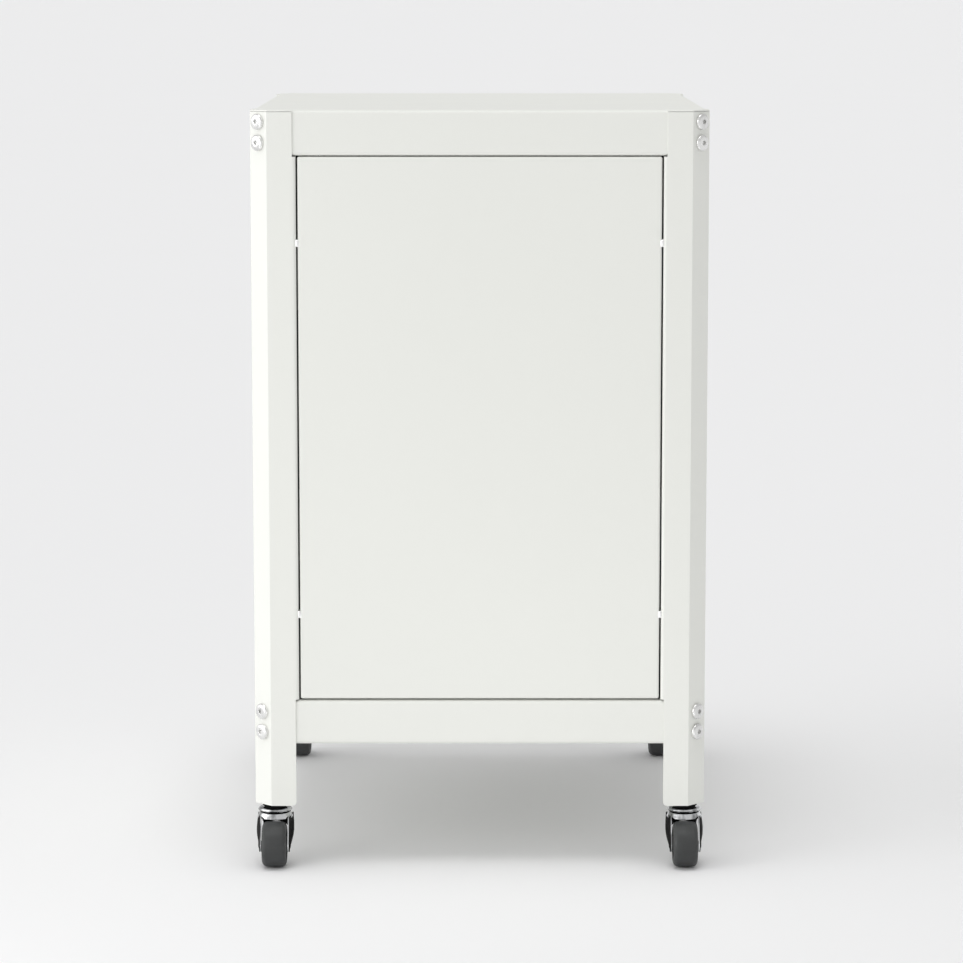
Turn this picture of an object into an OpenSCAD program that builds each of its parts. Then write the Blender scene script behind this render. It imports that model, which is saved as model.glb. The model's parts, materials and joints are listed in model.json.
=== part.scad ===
// Mobile metal filing cabinet: folded sheet carcass between four chamfered corner posts,
// an upper drawer and a lower filing drawer on telescopic slides, and four swivel castors.
// Millimetres. X runs across the width, the drawers face -Y, Z is up from the floor.
// The origin is on the floor, under the middle of the cabinet.

/* [Cabinet] */
// Overall width across the corner posts
cabinet_w = 393.7; // [372:0.1:460]
// Depth of the body across the corner posts
cabinet_d = 457; // [430:1:600]
// Overall height from the floor to the top
cabinet_h = 660; // [640:5:760]
// Thickness of the carcass sheet
sheet = 1.2; // [1:0.1:1.4]
// Outside radius of the folds
fold_r = 2; // [1.8:0.1:3]

/* [Corner posts] */
// Width of a post along each face, with its chamfer
post_w = 39.5; // [36:0.5:44]
// Width that the chamfer takes off each face
post_chamfer = 14.7; // [13:0.1:16]
// Depth of the flange folded inwards beside each opening
post_flange = 30; // [26:1:32]
// Outside radius of the fold between a post's face and its flange
post_fold_r = 3; // [2:0.1:4]
// Length of post below the bottom tray
leg_h = 55.1; // [40:0.1:70]
// Rounding of the inner corners at the foot of a post
leg_corner_r = 3.5; // [2:0.5:6]
// Thickness of the foot plate inside a post
foot_plate_t = 3; // [2:0.5:4]

/* [Trays] */
// Height of the apron on the top and bottom trays
tray_h = 38.7; // [35:0.1:44]
// Depth of the hem folded in at the top tray's lower edge
top_hem = 18; // [16:0.5:22]
// Depth of the hem folded in at the bottom tray's upper edge
bottom_hem = 12; // [8:1:20]

/* [Panels] */
// Gap between a panel or drawer front and the post beside it
side_gap = 1.25; // [1:0.05:4]
// Gap between a panel or drawer front and the bottom tray
gap_below = 1.5; // [1:0.1:3]
// Gap between a panel or drawer front and the top tray
gap_above = 0.9; // [0.6:0.1:3]
// Gap between the two drawer fronts
front_gap = 3; // [2:0.5:5]
// Depth of a panel's folded edge
panel_edge = 16; // [12:1:18]
// How far panels and drawer fronts lie behind the posts' faces
panel_inset = 1.2; // [0:0.1:2]
// Height of a panel clip
clip_h = 5.5; // [4:0.5:8]
// Width of a panel clip, measured into the gap
clip_depth = 8; // [5:1:12]
// From a panel's upper edge to its upper clips
clip_from_top = 74; // [40:0.5:110]
// From a panel's lower edge to its lower clips
clip_from_bottom = 74.5; // [40:0.5:110]

/* [Drawers] */
// Height of the upper drawer's front
upper_front_h = 156; // [145:1:170]
// Depth of a drawer front, from its face to its back edge
front_depth = 18; // [17:1:22]
// Width of the lip folded in at the back edge of a drawer front
front_lip = 14; // [12:1:18]
// Thickness of the drawer tub's sheet
tub_sheet = 1; // [0.8:0.1:1.2]
// From the upper edge of the upper drawer's front down to its tub's rim
upper_rim_drop = 32; // [28:1:48]
// From the upper edge of the lower drawer's front down to its tub's rim
lower_rim_drop = 47.5; // [44.5:0.5:70]
// From the lower edge of a drawer front to the underside of its tub
tub_lift = 12; // [8:1:14]
// Height of the doubled edge along the top of a tub
tub_hem = 8; // [5:1:12]
// Free space between the back of a tub and the rear ends of the slide rails
tub_back_space = 18; // [12:1:40]
// Thickness of the bars that hanging files ride on
bar_t = 2.5; // [2:0.5:4]
// Height of the hanging-file bars
bar_h = 16; // [12:1:22]
// Distance between the two hanging-file bars
bar_spacing = 325; // [300:1:330]

/* [Slides] */
// Overall thickness of a telescopic slide
slide_t = 12.7; // [12.4:0.1:14]
// Height of a slide's outer member
slide_h = 35; // [34:1:40]
// Thickness of the slides' sheet
slide_sheet = 1.2; // [1:0.1:1.3]
// Diameter of the slides' balls
ball_d = 2.34; // [2.3:0.02:2.4]
// Room left between a ball and the raceway on each side
ball_play = 0.03; // [0.01:0.01:0.06]
// Gap between the webs of neighbouring slide members
web_gap = 0.8; // [0.6:0.1:1]
// Length of a ball cage
cage_len = 110; // [90:5:140]
// Distance between neighbouring balls
ball_pitch = 18; // [12:1:24]
// From the underside of the upper tub up to the middle of its slides
upper_slide_rise = 42; // [38:1:60]
// From the underside of the lower tub up to the middle of its slides
lower_slide_rise = 138; // [60:1:170]
// Height of the rail that carries a slide
rail_h = 62; // [58:1:70]
// Height of the divider rail
divider_h = 15; // [12:1:16]
// Depth of the divider rail
divider_d = 15; // [12:1:20]

/* [Pulls] */
// Width of the opening for a recessed pull
pull_w = 100; // [80:2:140]
// Height of the opening for a recessed pull
pull_h = 34; // [28:1:40]
// Depth of the pull's cup behind the drawer front
pull_depth = 13; // [10:0.5:14]
// Wall thickness of the pull
pull_wall = 1.6; // [1.2:0.1:2]
// Width of the pull's rim over the drawer front
pull_rim = 4; // [3:0.5:6]
// From a drawer front's upper edge to the middle of its pull
pull_drop = 60; // [58:1:70]

/* [Lock] */
// Diameter of the lock's barrel
lock_d = 18; // [17:0.5:19]
// Diameter of the lock's rim
lock_rim_d = 22; // [21:0.5:24]
// Diameter of the turning core
core_d = 12; // [11:0.5:13]
// From the side edge of the upper drawer's front to the lock
lock_side = 39.5; // [34:0.5:56]
// From the drawer front's upper edge to the lock
lock_drop = 21; // [19:0.5:22]
// Length of the lock's cam
cam_len = 28; // [26:0.5:30]
// Thickness of the lock's cam
cam_t = 2; // [1.5:0.1:2.2]

/* [Castors] */
// From a post's two faces to the castor's swivel axis
castor_inset = 17; // [15.5:0.5:18]
// Diameter of the wheel over its tyre
wheel_d = 40; // [36:1:44]
// Width of the tyre
tyre_w = 21.5; // [20:0.5:24]
// Diameter of the wheel hub under the tyre
hub_d = 29; // [26:1:30]
// Rounding of the tyre's shoulders
tyre_r = 3.5; // [2:0.5:5]
// From the swivel axis back to the axle
castor_trail = 17; // [12:0.5:20]
// Diameter of the fork's crown
crown_d = 31; // [30:0.5:31]
// Height of the fork's crown
crown_h = 5.8; // [5:0.1:8]
// Diameter of the upper race
race_d = 30; // [26:0.5:30]
// Height of the upper race
race_h = 2.8; // [2:0.1:4]
// Diameter of the stem's collar
collar_d = 22; // [18:0.5:22]
// Height of the stem's collar
collar_h = 4; // [3:0.5:10]
// Diameter of the stem
stem_d = 8; // [6:0.5:8]
// Thickness of the fork's sheet
fork_sheet = 1.5; // [1.2:0.1:1.8]
// Radius of the fork leg's end round the axle
leg_end_r = 7; // [6:0.5:9]
// Diameter of the axle
axle_d = 6; // [5:0.5:7]

/* [Fasteners] */
// Thread diameter of the frame screws
frame_screw_d = 6; // [5:0.5:6]
// Head diameter of the frame screws
frame_head_d = 14; // [11:0.1:14.5]
// Head height of the frame screws
frame_head_h = 3.4; // [3:0.1:4]
// From a tray's closed face to its nearer frame screws
screw_first = 10; // [9.5:0.1:11]
// Distance between the two frame screws of a post's end
screw_pitch = 18; // [16:0.5:18]
// Thread diameter of the small screws
small_screw_d = 4; // [3:0.5:4]
// Head diameter of the small screws
small_head_d = 7.6; // [6.5:0.1:8]
// Head height of the small screws
small_head_h = 2; // [1.6:0.1:2.4]

/* [Fits] */
// Radial play of the wheel on its axle and of the fork on its stem
running_play = 0.06; // [0.02:0.01:0.1]
// Gap between faces that turn past each other
turning_gap = 0.4; // [0.3:0.05:0.6]
// Radial room round a screw in its hole
hole_play = 0.3; // [0.2:0.1:0.5]
// Room between folded parts that are only screwed together
fold_room = 0.8; // [0.3:0.1:1]

/* [Hidden] */
$fn = 48;

// Corners of the cabinet: name, side of the width, side of the depth
CORNERS = [["front_left", -1, -1], ["front_right", 1, -1], ["back_left", -1, 1], ["back_right", 1, 1]];
// Drawers: name
DRAWERS = ["upper", "lower"];

// Colours
PAINT = [0.91, 0.91, 0.89];
ZINC = [0.72, 0.74, 0.76];
CHROME = [0.8, 0.81, 0.82];
TYRE = [0.28, 0.29, 0.29];
HUB = [0.5, 0.5, 0.5];

// Castor heights, from the floor up
wheel_room = 1;
wheel_z = wheel_d / 2;
crown_z = wheel_d + wheel_room;
race_z = crown_z + crown_h + turning_gap;
collar_z = race_z + race_h;
foot_z = collar_z + collar_h;

// Heights of the carcass
lip_room = 0.3;
tray_z = foot_z + leg_h;
opening_z = tray_z + tray_h;
opening_top = cabinet_h - tray_h;
panel_z = opening_z + gap_below;
panel_h = opening_top - gap_above - panel_z;
post_top = cabinet_h - sheet - lip_room;

// Widths of a post's flat skin and inside the carcass
skin_w = post_w - post_fold_r;
opening_w = cabinet_w - 2 * post_w;
front_w = opening_w - 2 * side_gap;
side_w = cabinet_d - 2 * post_w - 2 * side_gap;

// Drawer fronts
lower_front_h = panel_h - upper_front_h - front_gap;
upper_front_z = panel_z + lower_front_h + front_gap;
face_y = -cabinet_d / 2 + panel_inset;
front_back_y = face_y + front_depth;

// Slides and their rails, from the rail's inner face towards the drawer
front_room = 3.3;
rail_overhang = 2;
rail_end_gap = 3;
slide_end_gap = 16;
middle_short = 10;
inner_short = 6;
rail_x = opening_w / 2 - sheet;
slide_x = rail_x - slide_t;
slide_y = front_back_y + front_room;
rail_y = slide_y - rail_overhang;
rail_end_y = cabinet_d / 2 - panel_inset - panel_edge - rail_end_gap;
slide_len = rail_end_y - slide_y - slide_end_gap;
slide_back_y = slide_y + slide_len;
ball_gap = ball_d + 2 * ball_play;
outer_half = slide_h / 2;
middle_half = outer_half - slide_sheet - ball_gap;
inner_half = middle_half - slide_sheet - ball_gap;
outer_ball_z = middle_half + ball_gap / 2;
inner_ball_z = inner_half + ball_gap / 2;
lip_gap = 2.2;
lip_end = slide_t - lip_gap;
ball_x = (slide_sheet + web_gap + lip_end) / 2 + web_gap / 2;
upper_slide_z = upper_front_z + tub_lift + upper_slide_rise;
lower_slide_z = panel_z + tub_lift + lower_slide_rise;

// Small screws, from the edges of what they hold
rail_screw_edge = 7;
flange_screw_edge = 4.5;
front_screw_edge = 16;
tub_screw_front = 30;
tub_screw_back = 60;
small_screw_len = 8;
rail_screw_z = rail_h / 2 - rail_screw_edge;
rail_screw_y = post_flange - flange_screw_edge;

// Divider rail
divider_drop = 7;
divider_room = 4.5;

// Tubs
tub_w = 2 * slide_x;
tub_back_y = rail_end_y - tub_back_space;
tub_wall_w = front_w - 7;
upper_tub_h = upper_front_h - upper_rim_drop - tub_lift;
lower_tub_h = lower_front_h - lower_rim_drop - tub_lift;
bar_y = -8;

// Lock
lock_x = front_w / 2 - lock_side;
lock_z = upper_front_z + upper_front_h - lock_drop;
lock_nut_t = 3;
lock_nut_y = front_back_y + tub_sheet + lock_nut_t;
cam_room = 2;
top_hem_y = -cabinet_d / 2 + 2 * sheet + top_hem;
lock_back_y = max(lock_nut_y, top_hem_y + cam_room - turning_gap);
lock_rim_t = 2.5;

// Castors
fork_gap = turning_gap - 0.05;
hub_w = tyre_w + 1;
leg_x = hub_w / 2 + fork_gap;
stem_top = foot_z + foot_plate_t + 12;
rivet_t = 2.5;
crown_under = crown_z + crown_h - fork_sheet;
rivet_z = crown_under - turning_gap - rivet_t;
frame_screw_len = 14;
weld_nut_t = 5;

// ---------- plane shapes ----------

function turned(v, a) = [v[0] * cos(a) - v[1] * sin(a), v[0] * sin(a) + v[1] * cos(a)];
function left_of(v) = [-v[1], v[0]];
function along(a, b) = (b - a) / norm(b - a);
function reversed(list) = [for (i = [len(list) - 1:-1:0]) list[i]];

// One bend of a folded strip: an arc of middle radius r, moved sideways by offset
function bend_points(before, at, after, r, offset, steps = 5) =
    let (u = along(before, at), v = along(at, after))
    let (angle = atan2(u[0] * v[1] - u[1] * v[0], u * v), side = sign(angle))
    let (centre = at - u * r * tan(abs(angle) / 2) + left_of(u) * side * r)
    [for (i = [0:steps]) centre - turned(left_of(u), angle * i / steps) * (side * r - offset)];

function strip_side(path, radii, offset) =
    let (last = len(path) - 1)
    concat(
        [path[0] + left_of(along(path[0], path[1])) * offset],
        [for (i = [1:last - 1]) each bend_points(path[i - 1], path[i], path[i + 1], radii[i - 1], offset)],
        [path[last] + left_of(along(path[last - 1], path[last])) * offset]
    );

// Outline of a strip of sheet of thickness t folded along path; radii are those of its bends, inside
function folded_strip(path, t, radii) =
    let (middle = [for (r = radii) r + t / 2])
    concat(strip_side(path, middle, t / 2), reversed(strip_side(path, middle, -t / 2)));

// Rectangle standing on the X axis, its two upper corners rounded
function rounded_top(w, h, r, steps = 5) = concat(
    [[-w / 2, 0], [w / 2, 0]],
    [for (i = [0:steps]) [w / 2 - r, h - r] + turned([r, 0], 90 * i / steps)],
    [for (i = [0:steps]) [-w / 2 + r, h - r] + turned([0, r], 90 * i / steps)]
);

// Rectangle about the origin with all corners rounded
function rounded_rect(w, h, r, steps = 6) =
    [for (q = [0:3], i = [0:steps])
        [(q == 0 || q == 3 ? 1 : -1) * (w / 2 - r), (q < 2 ? 1 : -1) * (h / 2 - r)]
        + turned([r, 0], 90 * (q + i / steps))];

// Plan of the carcass with chamfered corners, inset all round
function octagon(inset) =
    let (x = cabinet_w / 2 - inset, y = cabinet_d / 2 - inset)
    let (k = post_chamfer - inset * (2 - sqrt(2)))
    [[x - k, y], [x, y - k], [x, k - y], [x - k, -y], [k - x, -y], [-x, k - y], [-x, y - k], [k - x, y]];

// Point where the tangent from p touches a circle; side is 1 or -1
function tangent_point(p, centre, r, side) =
    let (d = centre - p, a = acos(r / norm(d)))
    centre - turned(d / norm(d), side * a) * r;

// ---------- solids used by several parts ----------

// Block on Z = 0 whose upper edges are rounded
module crowned_block(w, d, h, r) {
    intersection() {
        rotate([90, 0, 0])
            linear_extrude(d, center = true) polygon(rounded_top(w, h, r));
        rotate([90, 0, 90])
            linear_extrude(w, center = true) polygon(rounded_top(d, h, r));
    }
}

// Shallow pan of folded sheet, its face upwards and a lip folded in at its lower edge
module folded_pan(w, d, h, t, r, lip = 0) {
    difference() {
        crowned_block(w, d, h, r);
        translate([0, 0, lip > 0 ? t : -1])
            crowned_block(w - 2 * t, d - 2 * t, h - t - (lip > 0 ? t : -1), r - t);
        if (lip > 0)
            translate([0, 0, t / 2])
                cube([w - 2 * (t + lip), d - 2 * (t + lip), 2 * t], center = true);
    }
}

// Puts a shape built on its back with +Z outwards onto an upright face
module facing(angle, x, y, z) {
    translate([x, y, z]) rotate([0, 0, angle]) rotate([90, 0, 0]) children();
}

// Screw along Z, its head above Z = 0 and its shaft below
module button_screw(d, head_d, head_h, length) {
    edge = head_h / 5;
    steps = 6;
    difference() {
        rotate_extrude()
            polygon(concat(
                [[0, -length], [d / 2, -length], [d / 2, 0], [head_d / 2, 0], [head_d / 2, edge]],
                [for (i = [1:steps]) let (a = 60 * i / steps)
                    [head_d / 2 * (1 - a / 90), edge + (head_h - edge) * sin(a) / sin(60)]],
                [[0, head_h]]
            ));
        translate([0, 0, head_h / 3])
            cylinder(d = head_d * 0.42, h = head_h, $fn = 6);
    }
}

// Places children on each chamfered corner face at each frame screw, +Z pointing outwards
module at_frame_screws(depth = 0) {
    middle = post_chamfer / 2;
    for (corner = CORNERS, row = [0, 1], z = [tray_z, cabinet_h]) {
        sx = corner[1];
        sy = corner[2];
        up = z == tray_z ? 1 : -1;
        translate([sx * (cabinet_w / 2 - middle), sy * (cabinet_d / 2 - middle),
            z + up * (screw_first + row * screw_pitch)])
            rotate([0, 90, atan2(sy, sx)])
                translate([0, 0, -depth]) children();
    }
}

// ---------- carcass ----------

// Folded tray with its closed face at Z = tray_h and a hem at its open edge
module tray(hem) {
    difference() {
        intersection() {
            crowned_block(cabinet_w - 2 * sheet, cabinet_d - 2 * sheet, tray_h, fold_r);
            linear_extrude(tray_h) polygon(octagon(sheet));
        }
        translate([0, 0, sheet])
            intersection() {
                crowned_block(cabinet_w - 4 * sheet, cabinet_d - 4 * sheet, tray_h - 2 * sheet,
                    fold_r - sheet);
                linear_extrude(tray_h) polygon(octagon(2 * sheet));
            }
        translate([0, 0, -1]) linear_extrude(sheet + 2) polygon(octagon(2 * sheet + hem));
    }
}

module frame_screw_holes() {
    at_frame_screws(4 * sheet)
        cylinder(d = frame_screw_d + 2 * hole_play, h = 6 * sheet);
}

module top_tray() {
    color(PAINT) {
        difference() {
            translate([0, 0, cabinet_h - tray_h]) tray(top_hem);
            frame_screw_holes();
        }
        // lips that cover the posts' upper ends
        translate([0, 0, cabinet_h - sheet])
            difference() {
                linear_extrude(sheet) polygon(octagon(0));
                for (across = [0, 1])
                    translate([0, 0, sheet / 2])
                        cube([across ? cabinet_w + 2 : cabinet_w - 2 * skin_w,
                            across ? cabinet_d - 2 * skin_w : cabinet_d + 2, 2 * sheet], center = true);
                translate([0, 0, -1]) linear_extrude(2 * sheet + 2) polygon(octagon(fold_r + sheet));
            }
    }
}

module bottom_tray() {
    color(PAINT) difference() {
        translate([0, 0, tray_z + tray_h]) mirror([0, 0, 1]) tray(bottom_hem);
        frame_screw_holes();
    }
}

// Plan of a post from its outer corner inwards, as the middle line of the sheet
function post_path() =
    let (m = sheet / 2, c = post_chamfer + sheet / 2 * (sqrt(2) - 1))
    [[post_w - m, post_flange], [post_w - m, m], [c, m], [m, c], [m, post_w - m], [post_flange, post_w - m]];

// Inside radii of a post's bends, in the order of its plan
function post_radii() =
    let (fold = post_fold_r - sheet, chamfer = fold_r - sheet)
    [fold, chamfer, chamfer, fold];

// Space inside a post's flat skin
function post_inside(reach) =
    let (c = post_chamfer + sheet * (sqrt(2) - 1))
    [[c, sheet], [reach, sheet], [reach, reach], [sheet, reach], [sheet, c]];

// All of a post's plan but its flat skin: the space inside, the folds and the flanges
function post_folds() =
    let (c = post_chamfer + sheet * (sqrt(2) - 1), far = post_w + 2)
    [[c, sheet], [skin_w, sheet], [skin_w, -1], [far, -1], [far, far], [-1, far], [-1, skin_w],
        [sheet, skin_w], [sheet, c]];

// Moves a plan drawn from a post's outer corner inwards to its corner of the cabinet
function at_corner(points, sx, sy) =
    [for (p = points) [sx * (cabinet_w / 2 - p[0]), sy * (cabinet_d / 2 - p[1])]];

module post(sx, sy) {
    color(PAINT) difference() {
        translate([0, 0, foot_z])
            linear_extrude(post_top - foot_z)
                polygon(at_corner(folded_strip(post_path(), sheet, post_radii()), sx, sy));
        // folds and flanges stop short of both trays and are left off the leg
        translate([0, 0, foot_z - 1])
            linear_extrude(opening_z + fold_room - foot_z + 1)
                polygon(at_corner(post_folds(), sx, sy));
        translate([0, 0, opening_top - fold_room])
            linear_extrude(tray_h + 1)
                polygon(at_corner(post_folds(), sx, sy));
        leg_corner(sx, sy);
        frame_screw_holes();
        rail_screw_holes();
    }
}

// What the rounding takes off the foot of a post, on both its faces
module leg_corner(sx, sy) {
    r = leg_corner_r;
    for (face = [0, 1])
        translate([sx * (cabinet_w / 2 - (face ? 0 : skin_w)), sy * (cabinet_d / 2 - (face ? skin_w : 0)),
            foot_z])
            rotate([0, 0, face ? 90 : 0])
                difference() {
                    cube([2 * r, 4 * fold_r, 2 * r], center = true);
                    for (side = [-1, 1])
                        translate([side * r, 0, r]) rotate([90, 0, 0])
                            cylinder(r = r, h = 5 * fold_r, center = true);
                }
}

module foot_plates() {
    color(ZINC) for (corner = CORNERS) difference() {
        translate([0, 0, foot_z])
            linear_extrude(foot_plate_t)
                polygon(at_corner(post_inside(skin_w - leg_corner_r), corner[1], corner[2]));
        translate([0, 0, foot_z - 1])
            at_castor(corner[1], corner[2]) cylinder(d = stem_d, h = foot_plate_t + 2);
    }
}

module back_panel() {
    color(PAINT) facing(180, 0, cabinet_d / 2 - panel_inset - panel_edge, panel_z + panel_h / 2)
        folded_pan(front_w, panel_h, panel_edge, sheet, fold_r);
}

module side_panel(sx) {
    color(PAINT) facing(sx * 90, sx * (cabinet_w / 2 - panel_inset - panel_edge), 0, panel_z + panel_h / 2)
        folded_pan(side_w, panel_h, panel_edge, sheet, fold_r);
}

module panel_clips() {
    heights = [panel_z + clip_from_bottom, panel_z + panel_h - clip_from_top];
    inset = panel_inset + fold_r + 0.5;
    color(ZINC) for (z = heights, side = [-1, 1]) {
        translate([side * (front_w + side_gap) / 2, cabinet_d / 2 - inset - clip_depth / 2, z])
            cube([side_gap, clip_depth, clip_h], center = true);
        for (along_y = [-1, 1])
            translate([side * (cabinet_w / 2 - inset - clip_depth / 2), along_y * (side_w + side_gap) / 2, z])
                cube([clip_depth, side_gap, clip_h], center = true);
    }
}

module frame_screws() {
    color(CHROME) at_frame_screws()
        button_screw(frame_screw_d, frame_head_d, frame_head_h, frame_screw_len);
}

module weld_nuts() {
    color(ZINC) at_frame_screws(2 * sheet + weld_nut_t) difference() {
        cylinder(d = frame_screw_d * 1.85, h = weld_nut_t, $fn = 6);
        translate([0, 0, -1]) cylinder(d = frame_screw_d, h = weld_nut_t + 2);
    }
}

// ---------- slides and their rails ----------

function slide_z(drawer) = drawer == "upper" ? upper_slide_z : lower_slide_z;

module slide_rails() {
    color(ZINC) for (side = [-1, 1], drawer = DRAWERS) difference() {
        translate([side * (rail_x + sheet / 2), (rail_y + rail_end_y) / 2, slide_z(drawer)])
            cube([sheet, rail_end_y - rail_y, rail_h], center = true);
        rail_screw_holes();
    }
}

// Places children at each rail screw, +Z pointing at the middle of the cabinet
module at_rail_screws() {
    for (side = [-1, 1], end = [-1, 1], drawer = DRAWERS, row = [-1, 1])
        translate([side * rail_x, end * (cabinet_d / 2 - rail_screw_y), slide_z(drawer) + row * rail_screw_z])
            rotate([0, -side * 90, 0]) children();
}

// Places children at the two screws of the divider rail
module at_divider_screws() {
    for (side = [-1, 1])
        translate([side * (opening_w / 2 + sheet), divider_y(), divider_z()])
            rotate([0, side * 90, 0]) children();
}

module rail_screw_holes() {
    at_rail_screws() translate([0, 0, -10])
        cylinder(d = small_screw_d + 2 * hole_play, h = 12);
    at_divider_screws() translate([0, 0, -10])
        cylinder(d = small_screw_d + 2 * hole_play, h = 12);
}

module rail_screws() {
    color(ZINC) {
        at_rail_screws() button_screw(small_screw_d, small_head_d, small_head_h, small_screw_len);
        at_divider_screws() button_screw(small_screw_d, small_head_d, small_head_h, small_screw_len);
    }
}

function divider_z() = upper_front_z - front_gap - divider_h / 2 - divider_drop;
function divider_y() = front_back_y + divider_room + divider_d / 2;

// Channel open to the rear, closed at both ends by the tabs that are screwed to the posts
module divider_rail() {
    color(ZINC) difference() {
        translate([0, divider_y(), divider_z()]) difference() {
            cube([opening_w, divider_d, divider_h], center = true);
            translate([0, sheet, 0])
                cube([opening_w - 2 * sheet, divider_d, divider_h - 2 * sheet], center = true);
        }
        rail_screw_holes();
    }
}

// Runs a cross-section along the slide: first across from the rail's face, then height
module slide_section(side, y, length, z) {
    translate([side * rail_x, y, z]) mirror([side > 0 ? 1 : 0, 0, 0])
        translate([0, length, 0]) rotate([90, 0, 0]) linear_extrude(length) children();
}

// Channel section as the middle line of its sheet: its web at web_at, its lips reaching lip_to
function channel(web_at, lip_to, half) =
    let (m = slide_sheet / 2)
    [[lip_to, half - m], [web_at, half - m], [web_at, m - half], [lip_to, m - half]];

module slide_member(path, z, length) {
    color(ZINC) for (side = [-1, 1])
        slide_section(side, slide_y, length, z)
            polygon(folded_strip(path, slide_sheet, [0.3, 0.3]));
}

module slide_outers(drawer) {
    slide_member(channel(slide_sheet / 2, lip_end, outer_half), slide_z(drawer), slide_len);
}

module slide_middles(drawer) {
    slide_member(channel(1.5 * slide_sheet + web_gap, lip_end, middle_half), slide_z(drawer),
        slide_len - middle_short);
}

module slide_inners(drawer) {
    near = 2 * (slide_sheet + web_gap);
    color(ZINC) difference() {
        slide_member(channel(slide_t - slide_sheet / 2, near, inner_half), slide_z(drawer),
            slide_len - inner_short);
        tub_screw_holes(drawer);
    }
}

// Two strips of balls, above and below, kept at distance from the slide's middle line
module ball_cages(z, distance) {
    strip = 0.7;
    strip_w = 5;
    count = floor((cage_len - ball_pitch) / ball_pitch) + 1;
    middle_y = slide_y + slide_len / 2;
    color(CHROME) for (side = [-1, 1], row = [-1, 1])
        translate([side * (rail_x - ball_x), middle_y, z + row * distance]) {
            cube([strip_w, cage_len, strip], center = true);
            for (i = [0:count - 1])
                translate([0, (i - (count - 1) / 2) * ball_pitch, 0]) sphere(d = ball_d, $fn = 24);
        }
}

// ---------- drawers ----------

function front_z(drawer) = drawer == "upper" ? upper_front_z : panel_z;
function front_h(drawer) = drawer == "upper" ? upper_front_h : lower_front_h;
function tub_h(drawer) = drawer == "upper" ? upper_tub_h : lower_tub_h;
function pull_z(drawer) = front_z(drawer) + front_h(drawer) - pull_drop;

module drawer_front(drawer) {
    color(PAINT) difference() {
        facing(0, 0, front_back_y, front_z(drawer) + front_h(drawer) / 2)
            folded_pan(front_w, front_h(drawer), front_depth, sheet, fold_r, front_lip);
        facing(0, 0, face_y + sheet + 1, pull_z(drawer))
            linear_extrude(sheet + 2) polygon(rounded_rect(pull_w, pull_h, 8));
        if (drawer == "upper") lock_hole();
        front_screw_holes(drawer);
    }
}

// Open-topped box with a tall front wall that closes the back of the drawer front
module drawer_tub(drawer) {
    z = front_z(drawer) + tub_lift;
    length = tub_back_y - front_back_y;
    color(PAINT) difference() {
        union() {
            translate([-tub_w / 2, front_back_y, z]) cube([tub_w, length, tub_h(drawer)]);
            translate([-tub_wall_w / 2, front_back_y, front_z(drawer) + 2])
                cube([tub_wall_w, tub_sheet, front_h(drawer) - 4]);
        }
        translate([-tub_w / 2 + tub_sheet, front_back_y + tub_sheet, z + tub_sheet])
            cube([tub_w - 2 * tub_sheet, length - 2 * tub_sheet, tub_h(drawer) - tub_sheet - tub_hem]);
        translate([-tub_w / 2 + 2 * tub_sheet, front_back_y + tub_sheet, z + 2 * tub_sheet])
            cube([tub_w - 4 * tub_sheet, length - 3 * tub_sheet, tub_h(drawer)]);
        if (drawer == "upper") lock_hole();
        front_screw_holes(drawer);
        tub_screw_holes(drawer);
    }
}

// Places children at the four screws that hold a drawer front, +Z pointing into the tub
module at_front_screws(drawer) {
    x = slide_x + small_head_d / 2 + hole_play;
    middle = front_z(drawer) + front_h(drawer) / 2;
    rise = front_h(drawer) / 2 - front_screw_edge;
    for (side = [-1, 1], row = [-1, 1])
        translate([side * x, front_back_y + tub_sheet, middle + row * rise])
            rotate([-90, 0, 0]) children();
}

// Places children at the screws between tub and inner slide members, +Z pointing into the tub
module at_tub_screws(drawer) {
    for (side = [-1, 1], y = [slide_y + tub_screw_front, slide_back_y - tub_screw_back])
        translate([side * (slide_x - tub_sheet), y, slide_z(drawer)])
            rotate([0, -side * 90, 0]) children();
}

module front_screw_holes(drawer) {
    at_front_screws(drawer) translate([0, 0, -10]) cylinder(d = small_screw_d + 2 * hole_play, h = 12);
}

module tub_screw_holes(drawer) {
    at_tub_screws(drawer) translate([0, 0, -8]) cylinder(d = small_screw_d + 2 * hole_play, h = 9);
}

module drawer_screws(drawer) {
    color(ZINC) {
        at_front_screws(drawer) button_screw(small_screw_d, small_head_d, small_head_h, small_screw_len);
        at_tub_screws(drawer) button_screw(small_screw_d, small_head_d, small_head_h, 5);
    }
}

// Cup behind the drawer front with a rim that laps over its face
module pull(drawer) {
    inner_r = 8;
    color(ZINC) facing(0, 0, face_y, pull_z(drawer)) difference() {
        union() {
            linear_extrude(1)
                polygon(rounded_rect(pull_w + 2 * pull_rim, pull_h + 2 * pull_rim, inner_r + pull_rim));
            translate([0, 0, -pull_depth])
                linear_extrude(pull_depth) polygon(rounded_rect(pull_w - 0.4, pull_h - 0.4, inner_r - 0.2));
        }
        translate([0, 0, pull_wall - pull_depth])
            linear_extrude(pull_depth + 2)
                polygon(rounded_rect(pull_w - 2 * pull_wall, pull_h - 2 * pull_wall, inner_r - pull_wall));
    }
}

// Bars across the lower tub, hooked over its sides
module hanging_bars() {
    z = panel_z + tub_lift + lower_tub_h;
    play = 0.3;
    hook = 8;
    color(ZINC) for (end = [-1, 1])
        translate([0, bar_y + end * bar_spacing / 2, z]) {
            translate([0, 0, 1.5 - bar_h / 2])
                cube([tub_w - 4 * tub_sheet - 2 * play, bar_t, bar_h - 3], center = true);
            translate([0, 0, 0.75])
                cube([tub_w + 2 * (play + 1.5), bar_t, 1.5], center = true);
            for (side = [-1, 1])
                translate([side * (tub_w / 2 + play + 0.75), 0, 1.5 - hook / 2])
                    cube([1.5, bar_t, hook], center = true);
        }
}

// ---------- lock ----------

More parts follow.
